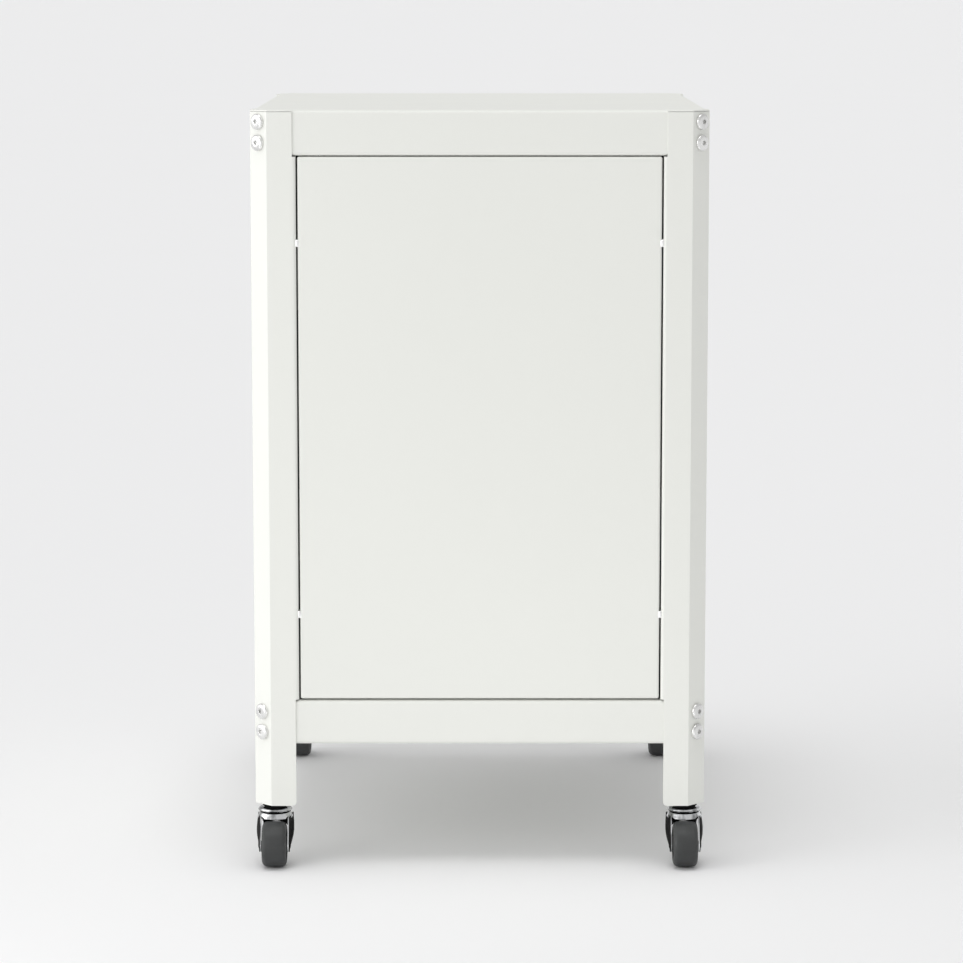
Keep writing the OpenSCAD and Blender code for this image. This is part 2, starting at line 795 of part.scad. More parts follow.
// Places children on the lock's axis at depth y, +Z pointing out of the drawer front
module on_lock_axis(y) {
    translate([lock_x, y, lock_z]) rotate([90, 0, 0]) children();
}

module lock_hole() {
    on_lock_axis(lock_back_y + 1) cylinder(d = lock_d + 2 * hole_play, h = lock_back_y - face_y + 4);
}

module lock_housing() {
    barrel = lock_back_y - face_y;
    color(CHROME) on_lock_axis(lock_back_y) difference() {
        union() {
            cylinder(d = lock_d, h = barrel);
            translate([0, 0, barrel]) cylinder(d1 = lock_rim_d, d2 = lock_rim_d - 1.5, h = lock_rim_t);
        }
        translate([0, 0, -1]) cylinder(d = core_d, h = barrel + lock_rim_t + 2);
    }
}

module lock_nut() {
    color(ZINC) on_lock_axis(lock_nut_y) difference() {
        cylinder(d = lock_d + 7, h = lock_nut_t, $fn = 6);
        translate([0, 0, -1]) cylinder(d = lock_d, h = lock_nut_t + 2);
    }
}

module lock_core() {
    length = lock_back_y - face_y + lock_rim_t;
    tail = turning_gap + cam_t + 0.6;
    color(CHROME) on_lock_axis(lock_back_y) difference() {
        union() {
            cylinder(d = core_d - 2 * running_play, h = length);
            translate([0, 0, -tail]) cylinder(d = 6, h = tail);
        }
        translate([-1, -3.5, length - 6]) cube([2, 7, 8]);
    }
}

module lock_cam() {
    w = 12;
    color(ZINC) on_lock_axis(lock_back_y + turning_gap + cam_t) difference() {
        union() {
            cylinder(d = w, h = cam_t);
            translate([-(cam_len - w / 2), 0, 0]) cylinder(d = w, h = cam_t);
            translate([-(cam_len - w / 2), -w / 2, 0]) cube([cam_len - w / 2, w, cam_t]);
        }
        translate([0, 0, -1]) cylinder(d = 6, h = cam_t + 2);
    }
}

// ---------- castors ----------

module at_castor(sx, sy) {
    translate([sx * (cabinet_w / 2 - castor_inset), sy * (cabinet_d / 2 - castor_inset), 0])
        rotate([0, 0, sy > 0 ? 0 : 180]) children();
}

// Stem with its riveted lower end, upper race and collar
module castor_stems() {
    color(CHROME) for (corner = CORNERS) at_castor(corner[1], corner[2]) {
        translate([0, 0, rivet_z]) cylinder(d = stem_d + 5, h = rivet_t);
        translate([0, 0, rivet_z]) cylinder(d = stem_d, h = stem_top - rivet_z);
        translate([0, 0, race_z]) cylinder(d1 = race_d, d2 = race_d - 3, h = race_h);
        translate([0, 0, collar_z]) cylinder(d = collar_d, h = collar_h);
    }
}

module stem_nuts() {
    nut_t = 6;
    color(ZINC) for (corner = CORNERS) at_castor(corner[1], corner[2])
        translate([0, 0, foot_z + foot_plate_t]) difference() {
            cylinder(d = stem_d * 1.85, h = nut_t, $fn = 6);
            translate([0, 0, -1]) cylinder(d = stem_d, h = nut_t + 2);
        }
}

// Side view of a fork leg: trail along X and height along Y
function leg_outline() =
    let (axle = [castor_trail, wheel_z])
    let (back = [-crown_d * 0.3, crown_z + 1], front = [crown_d * 0.38, crown_under + 0.5])
    [back, tangent_point(back, axle, leg_end_r, 1), axle, tangent_point(front, axle, leg_end_r, -1), front,
        [back[0], crown_under + 0.5]];

module castor_fork(sx, sy) {
    color(CHROME) at_castor(sx, sy) {
        difference() {
            translate([0, 0, crown_z]) cylinder(d1 = crown_d, d2 = crown_d - 3, h = crown_h);
            translate([0, 0, crown_z - 1])
                cylinder(d = crown_d - 2 * fork_sheet - 1.5, h = crown_h - fork_sheet + 1);
            cylinder(d = stem_d + 2 * running_play, h = collar_z);
        }
        for (side = [-1, 1])
            translate([side * (leg_x + fork_sheet / 2), 0, 0]) rotate([90, 0, 90]) difference() {
                linear_extrude(fork_sheet, center = true) {
                    polygon(leg_outline());
                    translate([castor_trail, wheel_z]) circle(r = leg_end_r);
                }
                translate([castor_trail, wheel_z, 0])
                    cylinder(d = axle_d, h = 2 * fork_sheet, center = true);
            }
    }
}

module on_axle(sx, sy) {
    at_castor(sx, sy) translate([0, castor_trail, wheel_z]) rotate([0, 90, 0]) children();
}

module castor_axle(sx, sy) {
    head = 1.2;
    half = leg_x + fork_sheet;
    color(CHROME) on_axle(sx, sy) {
        cylinder(d = axle_d, h = 2 * half, center = true);
        for (side = [-1, 1])
            translate([0, 0, side * (half + head / 2)]) cylinder(d = axle_d + 2.5, h = head, center = true);
    }
}

module wheel_hub(sx, sy) {
    boss_d = axle_d + 6;
    color(HUB) on_axle(sx, sy) difference() {
        union() {
            cylinder(d = hub_d, h = tyre_w - 4, center = true);
            cylinder(d = boss_d, h = hub_w, center = true);
        }
        cylinder(d = axle_d + 2 * running_play, h = hub_w + 2, center = true);
    }
}

module wheel_tyre(sx, sy) {
    half = tyre_w / 2;
    r = tyre_r;
    steps = 6;
    outer = wheel_d / 2;
    color(TYRE) on_axle(sx, sy) rotate_extrude($fn = 64)
        polygon(concat(
            [[hub_d / 2, -half], [hub_d / 2, half]],
            [for (i = [0:steps]) [outer - r, half - r] + turned([0, r], -90 * i / steps)],
            [for (i = [0:steps]) [outer - r, r - half] + turned([r, 0], -90 * i / steps)]
        ));
}

// ---------- nodes ----------

top_tray();
bottom_tray();
back_panel();
side_panel(-1);  // side_panel_left
side_panel(1);  // side_panel_right
panel_clips();
frame_screws();
weld_nuts();
foot_plates();
castor_stems();
stem_nuts();
divider_rail();
slide_rails();
rail_screws();
lock_housing();
lock_nut();
lock_core();
lock_cam();
hanging_bars();
for (drawer = DRAWERS) {
    drawer_front(drawer);
    drawer_tub(drawer);
    pull(drawer);
    drawer_screws(drawer);
    slide_outers(drawer);
    slide_middles(drawer);
    slide_inners(drawer);
    ball_cages(slide_z(drawer), outer_ball_z);
    ball_cages(slide_z(drawer), inner_ball_z);
}
for (corner = CORNERS) {
    post(corner[1], corner[2]);
    castor_fork(corner[1], corner[2]);
    castor_axle(corner[1], corner[2]);
    wheel_hub(corner[1], corner[2]);
    wheel_tyre(corner[1], corner[2]);
}
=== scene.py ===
"""Dresses a mobile metal filing cabinet: powder-coated sheet steel, plated hardware, swivel castors.

Laid out as a Blender add-on and run as a script. Every new piece is a surface worked out with numpy,
in metres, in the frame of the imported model: the drawers face -Y, the plain back faces +Y, Z is up.
"""
import json
import math
from types import SimpleNamespace

import bmesh
import bpy
import numpy as np
from bpy.props import FloatProperty, FloatVectorProperty, PointerProperty
from bpy.types import Operator, Panel, PropertyGroup
from mathutils import Matrix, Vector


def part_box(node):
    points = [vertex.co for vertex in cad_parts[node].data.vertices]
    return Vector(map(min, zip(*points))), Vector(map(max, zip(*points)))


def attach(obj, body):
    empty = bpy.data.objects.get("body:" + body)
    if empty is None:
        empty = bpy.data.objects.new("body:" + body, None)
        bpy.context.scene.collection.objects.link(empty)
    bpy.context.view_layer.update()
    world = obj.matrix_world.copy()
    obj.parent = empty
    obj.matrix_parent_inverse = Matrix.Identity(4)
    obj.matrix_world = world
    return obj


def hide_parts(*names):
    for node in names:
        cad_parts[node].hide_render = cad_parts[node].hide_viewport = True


bl_info = {
    "name": "Filing cabinet",
    "version": (1, 0, 0),
    "blender": (4, 5, 0),
    "location": "3D View > Sidebar > Filing cabinet",
    "description": "Dresses a mobile metal filing cabinet and sets up its studio",
    "category": "Object",
}

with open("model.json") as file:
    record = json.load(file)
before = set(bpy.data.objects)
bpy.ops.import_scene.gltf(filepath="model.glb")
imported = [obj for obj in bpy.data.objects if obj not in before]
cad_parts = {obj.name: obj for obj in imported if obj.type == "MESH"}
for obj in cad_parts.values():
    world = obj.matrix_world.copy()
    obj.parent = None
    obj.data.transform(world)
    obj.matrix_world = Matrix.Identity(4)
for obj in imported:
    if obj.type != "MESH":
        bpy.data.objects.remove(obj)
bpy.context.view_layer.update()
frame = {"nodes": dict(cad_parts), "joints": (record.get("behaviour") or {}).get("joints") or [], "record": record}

MM = 0.001
JOIN = 0.001 * MM
POLE = 0.0001 * MM
DRAWERS = ("upper", "lower")
CORNERS = {"front_left": (-1, -1), "front_right": (1, -1), "back_left": (-1, 1), "back_right": (1, 1)}
UP = np.array([0.0, 0.0, 1.0])
UNMOVED = (np.eye(3), np.zeros(3))
FINISHES = {}


def span(node):
    """Lowest and highest corner of a node as arrays."""
    low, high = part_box(node)
    return np.array(low), np.array(high)


TOP_LOW, TOP_HIGH = span("top_tray")
TRAY_LOW, TRAY_HIGH = span("bottom_tray")
POST_LOW, POST_HIGH = span("post_back_right")
WIDTH, DEPTH, HEIGHT = TOP_HIGH[0] - TOP_LOW[0], TOP_HIGH[1] - TOP_LOW[1], TOP_HIGH[2]
SHEET = TOP_HIGH[0] - TRAY_HIGH[0]
POST_W = POST_HIGH[0] - POST_LOW[0]


# ---------- settings ----------


def length_property(name, description, default):
    """Length in metres."""
    return FloatProperty(name=name, description=description, default=default, unit="LENGTH")


def colour_property(name, description, default):
    """Colour as linear red, green and blue."""
    return FloatVectorProperty(name=name, description=description, default=default, subtype="COLOR", max=1)


def angle_property(name, description, degrees):
    """Angle, given in degrees."""
    return FloatProperty(name=name, description=description, default=math.radians(degrees), subtype="ANGLE")


class SheetSettings(PropertyGroup):
    """Sizes of the folded sheet."""

    fold: length_property("Fold", "Outside radius of the panels' folds", 2 * MM)
    tray_fold: length_property("Tray fold", "Outside radius of the trays' folds", 3 * MM)
    chamfer: length_property("Chamfer", "Width that a post's chamfer takes off each face", 14.7 * MM)
    flange: length_property("Flange", "Depth of a post's inner flanges", 30 * MM)
    post_fold: length_property("Post fold", "Outside radius between a post's face and its flange", 3 * MM)
    fold_room: length_property("Fold room", "Slit between a post's folds and the trays", 0.8 * MM)
    leg_corner: length_property("Leg corner", "Rounding of a post's foot", 3.5 * MM)
    top_hem: length_property("Top hem", "Hem of the top tray", 18 * MM)
    bottom_hem: length_property("Bottom hem", "Hem of the bottom tray", 12 * MM)
    panel_corner: length_property("Panel corner", "Rounding of a panel's corners in its own plane", 1.6 * MM)
    edge: length_property("Edge", "Softness of cut sheet edges", 0.2 * MM)


class FinishSettings(PropertyGroup):
    """Colours and gloss."""

    paint: colour_property("Paint", "Colour of the powder coat", (0.79, 0.797, 0.757))
    paint_roughness: FloatProperty(
        name="Paint roughness", description="Roughness of the powder coat", default=0.46, subtype="FACTOR"
    )
    # slot: near-black colour that paints the shade in the narrow slots between panels and posts
    slot: colour_property("Slots", "Colour of the thin coat in the slots", (0.045, 0.045, 0.045))
    zinc: colour_property("Zinc", "Colour of zinc-plated steel", (0.6, 0.61, 0.62))
    clip: colour_property("Clips", "Colour of the panel clips", (0.92, 0.92, 0.91))
    screw: colour_property("Screws", "Colour of the frame screws", (0.8, 0.8, 0.79))
    chrome: colour_property("Chrome", "Colour of plated castor parts", (0.72, 0.73, 0.74))
    # cover also colours the black linings and the gap ring, which paint shade in the castors
    cover: colour_property("Covers", "Colour of the castors' black covers", (0.008, 0.008, 0.008))
    tyre: colour_property("Tyre", "Colour of the tyres", (0.044, 0.046, 0.046))
    hub: colour_property("Hub", "Colour of the wheel hubs", (0.045, 0.046, 0.048))
    lock: colour_property("Lock", "Colour of the lock", (0.66, 0.65, 0.63))
    pull: colour_property("Pull", "Colour of the recessed pulls", (0.42, 0.43, 0.43))


class HardwareSettings(PropertyGroup):
    """Sizes of clips, screws and castors."""

    clip_head: length_property("Clip head", "Width of a clip's head", 3.6 * MM)
    head: length_property("Screw head", "Radius of a frame screw's head", 7 * MM)
    head_height: length_property("Head height", "Height of a frame screw's head", 3.4 * MM)
    socket: length_property("Socket", "Inner radius of a frame screw's hexagon", 1.8 * MM)
    collar: length_property("Collar", "Radius of a castor's collar", 11 * MM)
    collar_height: length_property("Collar height", "Height of a castor's collar", 4 * MM)
    race: length_property("Race", "Radius of a castor's upper race", 15 * MM)
    leg_end: length_property("Leg end", "Radius of a fork leg round the axle", 7 * MM)
    fork_sheet: length_property("Fork sheet", "Thickness of a fork leg with its cover", 1.5 * MM)
    leg_gap: length_property("Leg gap", "Room between a hub and a fork leg", 0.35 * MM)
    leg_bulge: length_property("Leg bulge", "How far a fork leg bulges out at its rear", 3.3 * MM)


class StudioSettings(PropertyGroup):
    """Camera, floor and light."""

    distance: length_property("Distance", "From the back's face to the camera", 3.081)
    eye_height: length_property("Eye height", "Camera above the floor", 0.772)
    aim: FloatVectorProperty(
        name="Aim", description="Point on the back's face that the camera looks at: its X and Z",
        size=2, default=(-0.0015, 0.3407), unit="LENGTH"
    )
    lens: FloatProperty(
        name="Lens", description="Focal length in millimetres on a 36 mm sensor", default=134.6
    )
    floor: colour_property("Floor", "Colour of the floor", (0.851, 0.851, 0.856))
    key: FloatProperty(name="Key", description="Strength of the soft key light overhead", default=0.83)
    key_angle: angle_property("Key size", "Angle that the key light spans", 30)
    key_turn: angle_property("Key turn", "Turn of the key light from +Y towards +X", 16)
    key_rise: angle_property("Key rise", "Rise of the key light above the floor", 80.6)
    ambient: FloatProperty(
        name="Ambient", description="Brightness of the light from all round", default=0.632
    )
    haze: FloatProperty(
        name="Haze", description="Brightness that the backdrop gains at eye level", default=0.22
    )
    haze_rise: FloatProperty(
        name="Haze rise", description="Sine of the rise where the haze thins out", default=0.2
    )
    side: FloatProperty(
        name="Side", description="Brightness of the large soft light beside the cabinet", default=3.64
    )
    side_turn: angle_property("Side turn", "Turn of the side light from +Y towards +X", 73.9)
    side_focus: FloatProperty(name="Side focus", description="How narrow the side light is", default=9.6)
    card: FloatProperty(
        name="Card", description="Power of the bounce card on the floor before the back", default=0.258
    )
    strip: FloatProperty(name="Strip", description="Power of the upright light beside the back", default=0.81)


# ---------- plane shapes ----------


def unit_arc(start, stop, steps):
    """Points of the unit circle: cosine and sine of angles in even steps from start to stop, in degrees."""
    angle = np.radians(np.linspace(start, stop, steps + 1))
    return np.column_stack((np.cos(angle), np.sin(angle)))


def arc(centre, radius, start, stop, steps=6):
    """Arc in a plane: its centre plus the radius times the unit arc."""
    return np.asarray(centre) + radius * unit_arc(start, stop, steps)


def rectangle(width, height):
    """Corners of a rectangle about the origin, counter-clockwise."""
    return np.array([[-width, -height], [width, -height], [width, height], [-width, height]]) / 2


def octagon(width, depth, chamfer):
    """Corners of a rectangle with its corners cut at 45 degrees, counter-clockwise."""
    x, y, c = width / 2, depth / 2, chamfer
    return np.array(
        [[x, c - y], [x, y - c], [x - c, y], [c - x, y], [-x, y - c], [-x, c - y], [c - x, -y], [x - c, -y]]
    )


def inset_outline(corners, inset, radius, steps=5):
    """Convex outline moved inwards with round corners: each corner moves along the mitre of its two
    edges, and its arc turns from one edge's outward normal to the next, with radius less the inset."""
    along = np.roll(corners, -1, 0) - corners
    along = along / np.linalg.norm(along, axis=1)[:, None]
    leaving = np.column_stack((along[:, 1], -along[:, 0]))
    arriving = np.roll(leaving, 1, 0)
    mitre = (arriving + leaving) / (1 + np.sum(arriving * leaving, 1))[:, None]
    r = max(radius - inset, 0.0)
    start = np.arctan2(arriving[:, 1], arriving[:, 0])
    turn = np.arctan2(
        arriving[:, 0] * leaving[:, 1] - arriving[:, 1] * leaving[:, 0], np.sum(arriving * leaving, 1)
    )
    angle = start[:, None] + turn[:, None] * np.linspace(0, 1, steps + 1)
    ring = (corners - mitre * (inset + r))[:, None] + r * np.stack((np.cos(angle), np.sin(angle)), -1)
    return ring.reshape(-1, 2)


def carried_round(corners, profile, radius=0.0, steps=5):
    """Profile carried round an outline: each of its points is an inset from the outline and a height."""
    rings = [(inset_outline(corners, inset, radius, steps), height) for inset, height in profile]
    return np.stack([np.column_stack((ring, np.full(len(ring), height))) for ring, height in rings])


def revolved(profile, steps=48):
    """Profile of radius and height turned about Z: radius times cosine and sine of the angle."""
    angle = np.linspace(0, 2 * np.pi, steps, endpoint=False)
    profile = np.asarray(profile, float)
    ring = np.column_stack((np.cos(angle), np.sin(angle)))
    flat = profile[:, None, :1] * ring[None]
    return np.concatenate((flat, np.repeat(profile[:, None, 1:], steps, 1)), 2)


def swept(section, heights):
    """Plane section repeated at each height along Z."""
    rows = [np.column_stack((section, np.full(len(section), z))) for z in heights]
    return np.stack(rows)


def turned_to(axis, about=UP):
    """Rotation whose columns are the local axes, with local Z along axis and local Y towards about."""
    z = np.asarray(axis, float) / np.linalg.norm(axis)
    x = np.cross(about, z)
    x = x / np.linalg.norm(x)
    return np.column_stack((x, np.cross(z, x), z))


def matrix_of(rotation, origin):
    """Rotation and origin as one 4 by 4 matrix."""
    matrix = Matrix([list(row) for row in rotation]).to_4x4()
    matrix.translation = origin
    return matrix


# ---------- meshes ----------


class Skin:
    """Gathers grids and caps into one mesh. Points that coincide are joined."""

    def __init__(self):
        self.points, self.quads, self.caps, self.count = [], [], [], 0

    def add(self, points):
        """Takes points in and gives the number of the first one."""
        start = self.count
        self.points.append(np.asarray(points, float).reshape(-1, 3))
        self.count += len(self.points[-1])
        return start

    def grid(self, points, closed=False):
        """Quads between the rows and columns of a grid, whose columns close round when closed."""
        rows, columns = points.shape[:2]
        index = np.arange(rows * columns).reshape(rows, columns) + self.add(points)
        if closed:
            index = np.hstack((index, index[:, :1]))
        quads = np.stack((index[:-1, :-1], index[:-1, 1:], index[1:, 1:], index[1:, :-1]), -1)
        self.quads.append(quads.reshape(-1, 4))
        return self

    def cap(self, ring):
        """One flat face through the ring's points."""
        self.caps.append(np.arange(len(ring)) + self.add(ring))
        return self

    def tube(self, points):
        """Grid whose rows are closed rings, with a cap on its first and last ring."""
        return self.grid(points, closed=True).cap(points[0]).cap(points[-1])

    def copies(self, other, places):
        """The other skin once for each (rotation, origin)."""
        points = np.concatenate(other.points)
        for rotation, origin in places:
            start = self.add(points @ np.asarray(rotation).T + np.asarray(origin))
            self.quads += [quads + start for quads in other.quads]
            self.caps += [cap + start for cap in other.caps]
        return self

    def moved(self, rotation, origin):
        """Turns and moves the whole skin."""
        self.points = [np.concatenate(self.points) @ np.asarray(rotation).T + np.asarray(origin)]
        return self

    def mesh(self, name, outward=True):
        """Mesh with coinciding points joined and, when outward, its faces turned outwards."""
        faces = np.concatenate(self.quads).tolist() + [cap.tolist() for cap in self.caps]
        data = bpy.data.meshes.new(name)
        data.from_pydata(np.concatenate(self.points).tolist(), [], faces)
        work = bmesh.new()
        work.from_mesh(data)
        bmesh.ops.remove_doubles(work, verts=work.verts, dist=2 * JOIN)
        bmesh.ops.dissolve_degenerate(work, edges=work.edges, dist=JOIN)
        if outward:
            bmesh.ops.recalc_face_normals(work, faces=work.faces)
        work.to_mesh(data)
        work.free()
        return data


def soften(piece, angle, bevel):
    """Smooth shading up to the angle, a small round on sharper edges and flats that stay flat."""
    data = piece.data
    data.polygons.foreach_set("use_smooth", np.ones(len(data.polygons), bool))
    data.set_sharp_from_angle(angle=math.radians(angle))
    if bevel:
        round_edges = piece.modifiers.new("round_edges", "BEVEL")
        round_edges.width, round_edges.segments = bevel, 2
        round_edges.limit_method, round_edges.angle_limit = "ANGLE", math.radians(angle)
    flats = piece.modifiers.new("flats", "WEIGHTED_NORMAL")
    flats.keep_sharp, flats.weight = True, 60


def dressed(name, data, body, finish, nodes, angle, bevel):
    """Puts a mesh into the scene: rides on a body, stands for nodes and takes the finish given."""
    piece = bpy.data.objects.new(name, data)
    bpy.context.scene.collection.objects.link(piece)
    data.materials.clear()
    data.materials.append(finish)
    soften(piece, angle, bevel)
    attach(piece, body)
    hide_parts(*nodes)
    return piece


def piece_from(skin, name, body, finish, nodes, angle=35.0, bevel=0.0):
    """New piece with a skin for its mesh."""
    return dressed(name, skin.mesh(name), body, finish, nodes, angle, bevel)


def joined(node, flat=0.0):
    """Copy of a CAD node's mesh with its points joined, and with the faces merged that lie in one
    plane to within flat degrees."""
    data = frame["nodes"][node].data.copy()
    work = bmesh.new()
    work.from_mesh(data)
    bmesh.ops.remove_doubles(work, verts=work.verts, dist=JOIN)
    if flat:
        bmesh.ops.dissolve_limit(work, angle_limit=math.radians(flat), verts=work.verts, edges=work.edges)
    work.to_mesh(data)
    work.free()
    return data


def refined(node, name, body, finish, angle=25.0, bevel=0.0):
    """Copy of a CAD node with its points joined, its bends smooth and its cut edges softened."""
    data = joined(node, flat=0.5)
    data.name = name
    return dressed(name, data, body, finish, [node], angle, bevel)


# ---------- finishes ----------


class Finish:
    """Node tree of one material, built from its shader outwards."""

    def __init__(self, name, colour, roughness, metallic=0.0):
        self.material = bpy.data.materials.new(name)
        self.material.use_nodes = True
        self.material.diffuse_color = (*colour, 1)
        self.tree = self.material.node_tree
        self.shader = self.tree.nodes["Principled BSDF"]
        self.set("Base Color", (*colour, 1))
        self.set("Roughness", roughness)
        self.set("Metallic", metallic)
        self.place = self.tree.nodes.new("ShaderNodeTexCoord").outputs["Object"]

    def set(self, socket, value):
        """Sets a socket of the shader itself."""
        self.shader.inputs[socket].default_value = value

    def node(self, kind, **inputs):
        """New node, each named input (underscores for spaces) set to a value or linked to a socket."""
        node = self.tree.nodes.new(kind)
        for name, value in inputs.items():
            socket = node.inputs[name.replace("_", " ")]
            if isinstance(value, bpy.types.NodeSocket):
                self.tree.links.new(value, socket)
            else:
                socket.default_value = value
        return node

    def noise(self, scale, detail=4.0, roughness=0.55, stretch=(1, 1, 1)):
        """Noise over the object's own coordinates, stretched along an axis for brushed metal."""
        mapping = self.node("ShaderNodeMapping", Vector=self.place, Scale=stretch)
        place = mapping.outputs["Vector"]
        noise = self.node("ShaderNodeTexNoise", Vector=place, Scale=scale, Detail=detail, Roughness=roughness)
        return noise.outputs["Fac"]

    def spread(self, factor, low, high, start=0.3, stop=0.7):
        """Value that runs from low to high as the factor runs from start to stop."""
        spread = self.node(
            "ShaderNodeMapRange", Value=factor, From_Min=start, From_Max=stop, To_Min=low, To_Max=high
        )
        return spread.outputs["Result"]

    def vary_colour(self, factor, low, high):
        """Base colour that runs from low to high with the factor."""
        mix = self.node("ShaderNodeMix")
        mix.data_type = "RGBA"
        self.tree.links.new(factor, mix.inputs["Factor"])
        mix.inputs[6].default_value, mix.inputs[7].default_value = (*low, 1), (*high, 1)
        self.tree.links.new(mix.outputs[2], self.shader.inputs["Base Color"])

    def vary_roughness(self, factor, low, high):
        """Roughness that runs from low to high with the factor."""
        self.tree.links.new(self.spread(factor, low, high), self.shader.inputs["Roughness"])

    def bump(self, height, depth):
        """Relief of depth metres where height runs from 0 to 1, on top of any relief before it."""
        bump = self.node("ShaderNodeBump", Height=height, Distance=depth)
        normal = self.shader.inputs["Normal"]
        if normal.is_linked:
            self.tree.links.new(normal.links[0].from_socket, bump.inputs["Normal"])
        self.tree.links.new(bump.outputs["Normal"], normal)


def shade(colour, factor):
    """Colour times a factor, up to white."""
    return tuple(min(1.0, c * factor) for c in colour)


def powder_coat(name, colour, roughness):
    """Semi-matt powder coat: fine orange peel, a faint drift of tone and slightly uneven gloss."""
    finish = Finish(name, colour, roughness)
    finish.set("IOR", 1.45)
    finish.vary_colour(finish.noise(3.5, 2.0), shade(colour, 0.985), shade(colour, 1.012))
    finish.vary_roughness(finish.noise(9.0, 3.0), roughness - 0.04, roughness + 0.05)
    finish.bump(finish.noise(420.0, 2.0, 0.5), 0.06 * MM)
    finish.bump(finish.noise(2600.0, 1.0, 0.5), 0.012 * MM)
    return finish.material


def zinc_plate(name, colour):
    """Bright zinc on rolled sheet: long fine rolling lines, soft clouds of gloss and tone."""
    finish = Finish(name, colour, 0.36, 1.0)
    finish.vary_colour(finish.noise(38.0, 5.0, 0.6), shade(colour, 0.9), shade(colour, 1.06))
    finish.vary_roughness(finish.noise(60.0, 4.0), 0.28, 0.46)
    finish.bump(finish.noise(900.0, 2.0, 0.5, (1, 0.03, 1)), 0.02 * MM)
    return finish.material


def chrome_plate(name, colour, roughness=0.16, reflection_darkening=0.94):
    """Bright plating: nearly clean mirror, with a faint haze and hairline scratches, and painted
    reflections: stretched dark blotches in the colour, as dark as the given factor."""
    finish = Finish(name, colour, roughness, 1.0)
    finish.vary_roughness(finish.noise(130.0, 4.0), roughness - 0.05, roughness + 0.1)
    # painted reflection: stretched noise darkens the colour where dark surroundings would be reflected
    painted_reflection = finish.spread(finish.noise(110.0, 2.0, 0.5, (1, 1, 0.25)), 0.0, 1.0, 0.4, 0.54)
    finish.vary_colour(painted_reflection, shade(colour, reflection_darkening), shade(colour, 1.04))
    finish.bump(finish.noise(1500.0, 2.0, 0.5, (1, 0.08, 1)), 0.006 * MM)
    return finish.material


def tyre_rubber(name, colour):
    """Dark grey thermoplastic rubber: matt, a little dusty, with a fine grain."""
    finish = Finish(name, colour, 0.52)
    finish.set("Specular IOR Level", 0.35)
    finish.vary_colour(finish.noise(90.0, 5.0, 0.6), shade(colour, 0.82), shade(colour, 1.25))
    finish.vary_roughness(finish.noise(160.0, 3.0), 0.44, 0.62)
    finish.bump(finish.noise(1900.0, 2.0, 0.6), 0.03 * MM)
    return finish.material


def moulded_nylon(name, colour, roughness=0.43, gloss=0.5):
    """Moulded black nylon: satin, with the fine spark-eroded grain of its mould."""
    finish = Finish(name, colour, roughness)
    finish.set("Specular IOR Level", gloss)
    finish.vary_roughness(finish.noise(210.0, 3.0), roughness - 0.07, roughness + 0.07)
    finish.bump(finish.noise(2300.0, 1.0), 0.015 * MM)
    return finish.material


def silver_lacquer(name, colour):
    """Silver lacquer on pressed steel: a fine metallic sparkle under a satin coat."""
    finish = Finish(name, colour, 0.38, 0.55)
    finish.vary_colour(finish.noise(2400.0, 1.0), shade(colour, 0.9), shade(colour, 1.12))
    finish.vary_roughness(finish.noise(45.0, 3.0), 0.33, 0.44)
    finish.bump(finish.noise(700.0, 2.0), 0.01 * MM)
    return finish.material


def floor_paper(name, colour, drift=0.003):
    """Seamless paper: plain, matt and pale, its tone drifting a little."""
    finish = Finish(name, colour, 0.85)
    finish.set("Specular IOR Level", 0.15)
    low, high = (tuple(c + change for c in colour) for change in (-drift, drift))
    finish.vary_colour(finish.noise(1.2, 2.0), low, high)
    return finish.material


# ---------- folded sheet ----------


def section_of_post(sheet):
    """Half of a post's section, in distances from its outer corner along one face (u) and in from it
    (v): outside and inside of the flat skin, and round the fold and its flange. The other half swaps
    u and v."""
    t, r, foot_r = SHEET, sheet.post_fold, sheet.leg_corner
    c_out, c_in = sheet.chamfer, sheet.chamfer + SHEET * (math.sqrt(2) - 1)
    end = POST_W - r
    along = end - foot_r * np.array([1, 0.5, 0.2, 0.05, 0])
    skins = []
    for start, v in ((c_out, 0), (c_in, t)):
        u = np.concatenate(([start, start + 1.5 * MM], along))
        skins.append(np.column_stack((u, np.full(len(u), v))))
    flange = np.array([[POST_W, sheet.flange], [POST_W - t, sheet.flange]])
    fold = np.vstack((arc((end, r), r, -90, 0, 8), flange, arc((end, r), r - t, 0, -90, 6)))
    return skins[0], skins[1], fold


def post_skin(sheet, sx, sy):
    """A post: the section carried up in rows; its foot's corners are quarter circles, and the folds
    and flanges stand only between the two trays."""
    outer, inner, fold = section_of_post(sheet)
    foot, top = POST_LOW[2], POST_HIGH[2]
    low, high = TRAY_HIGH[2] + sheet.fold_room, TOP_LOW[2] - sheet.fold_room
    r, end = sheet.leg_corner, POST_W - sheet.post_fold
    rows = np.concatenate(([foot], foot + r * np.array([0.25, 0.6, 1.0, 1.6]), [low, high, top]))

    def wall(section, heights):
        """Rows of the section; each column starts at the lower edge of a quarter circle of radius r."""
        grid = swept(section, heights)
        edge = np.clip(r - (end - section.max(1)), 0, r)
        lifted = foot + r - np.sqrt(np.maximum(r * r - edge * edge, 0))
        grid[:, :, 2] = np.maximum(grid[:, :, 2], lifted[None])
        grid[:, :, :2] = np.array([sx * WIDTH / 2, sy * DEPTH / 2]) - grid[:, :, :2] * (sx, sy)
        return grid

    skin = Skin()
    both = [np.vstack((half[::-1], half[:, ::-1])) for half in (outer, inner)]
    for path in both:
        skin.grid(wall(path, rows))
    for order in (1, -1):
        edge = np.array([outer[-1], inner[-1]])[:, ::order]
        skin.grid(wall(edge, rows[rows <= low + 1e-9]))
        skin.grid(wall(edge, rows[rows >= high - 1e-9]))
        flange = wall(fold[:, ::order], np.array([low, high]))
        skin.grid(flange)
        skin.cap(flange[0]).cap(flange[-1])
    # the cut ends of the skin, as a ribbon between its outside and its inside
    for row in (0, -1):
        ends = [wall(path, rows)[row] for path in both]
        skin.grid(np.stack(ends))
    return skin


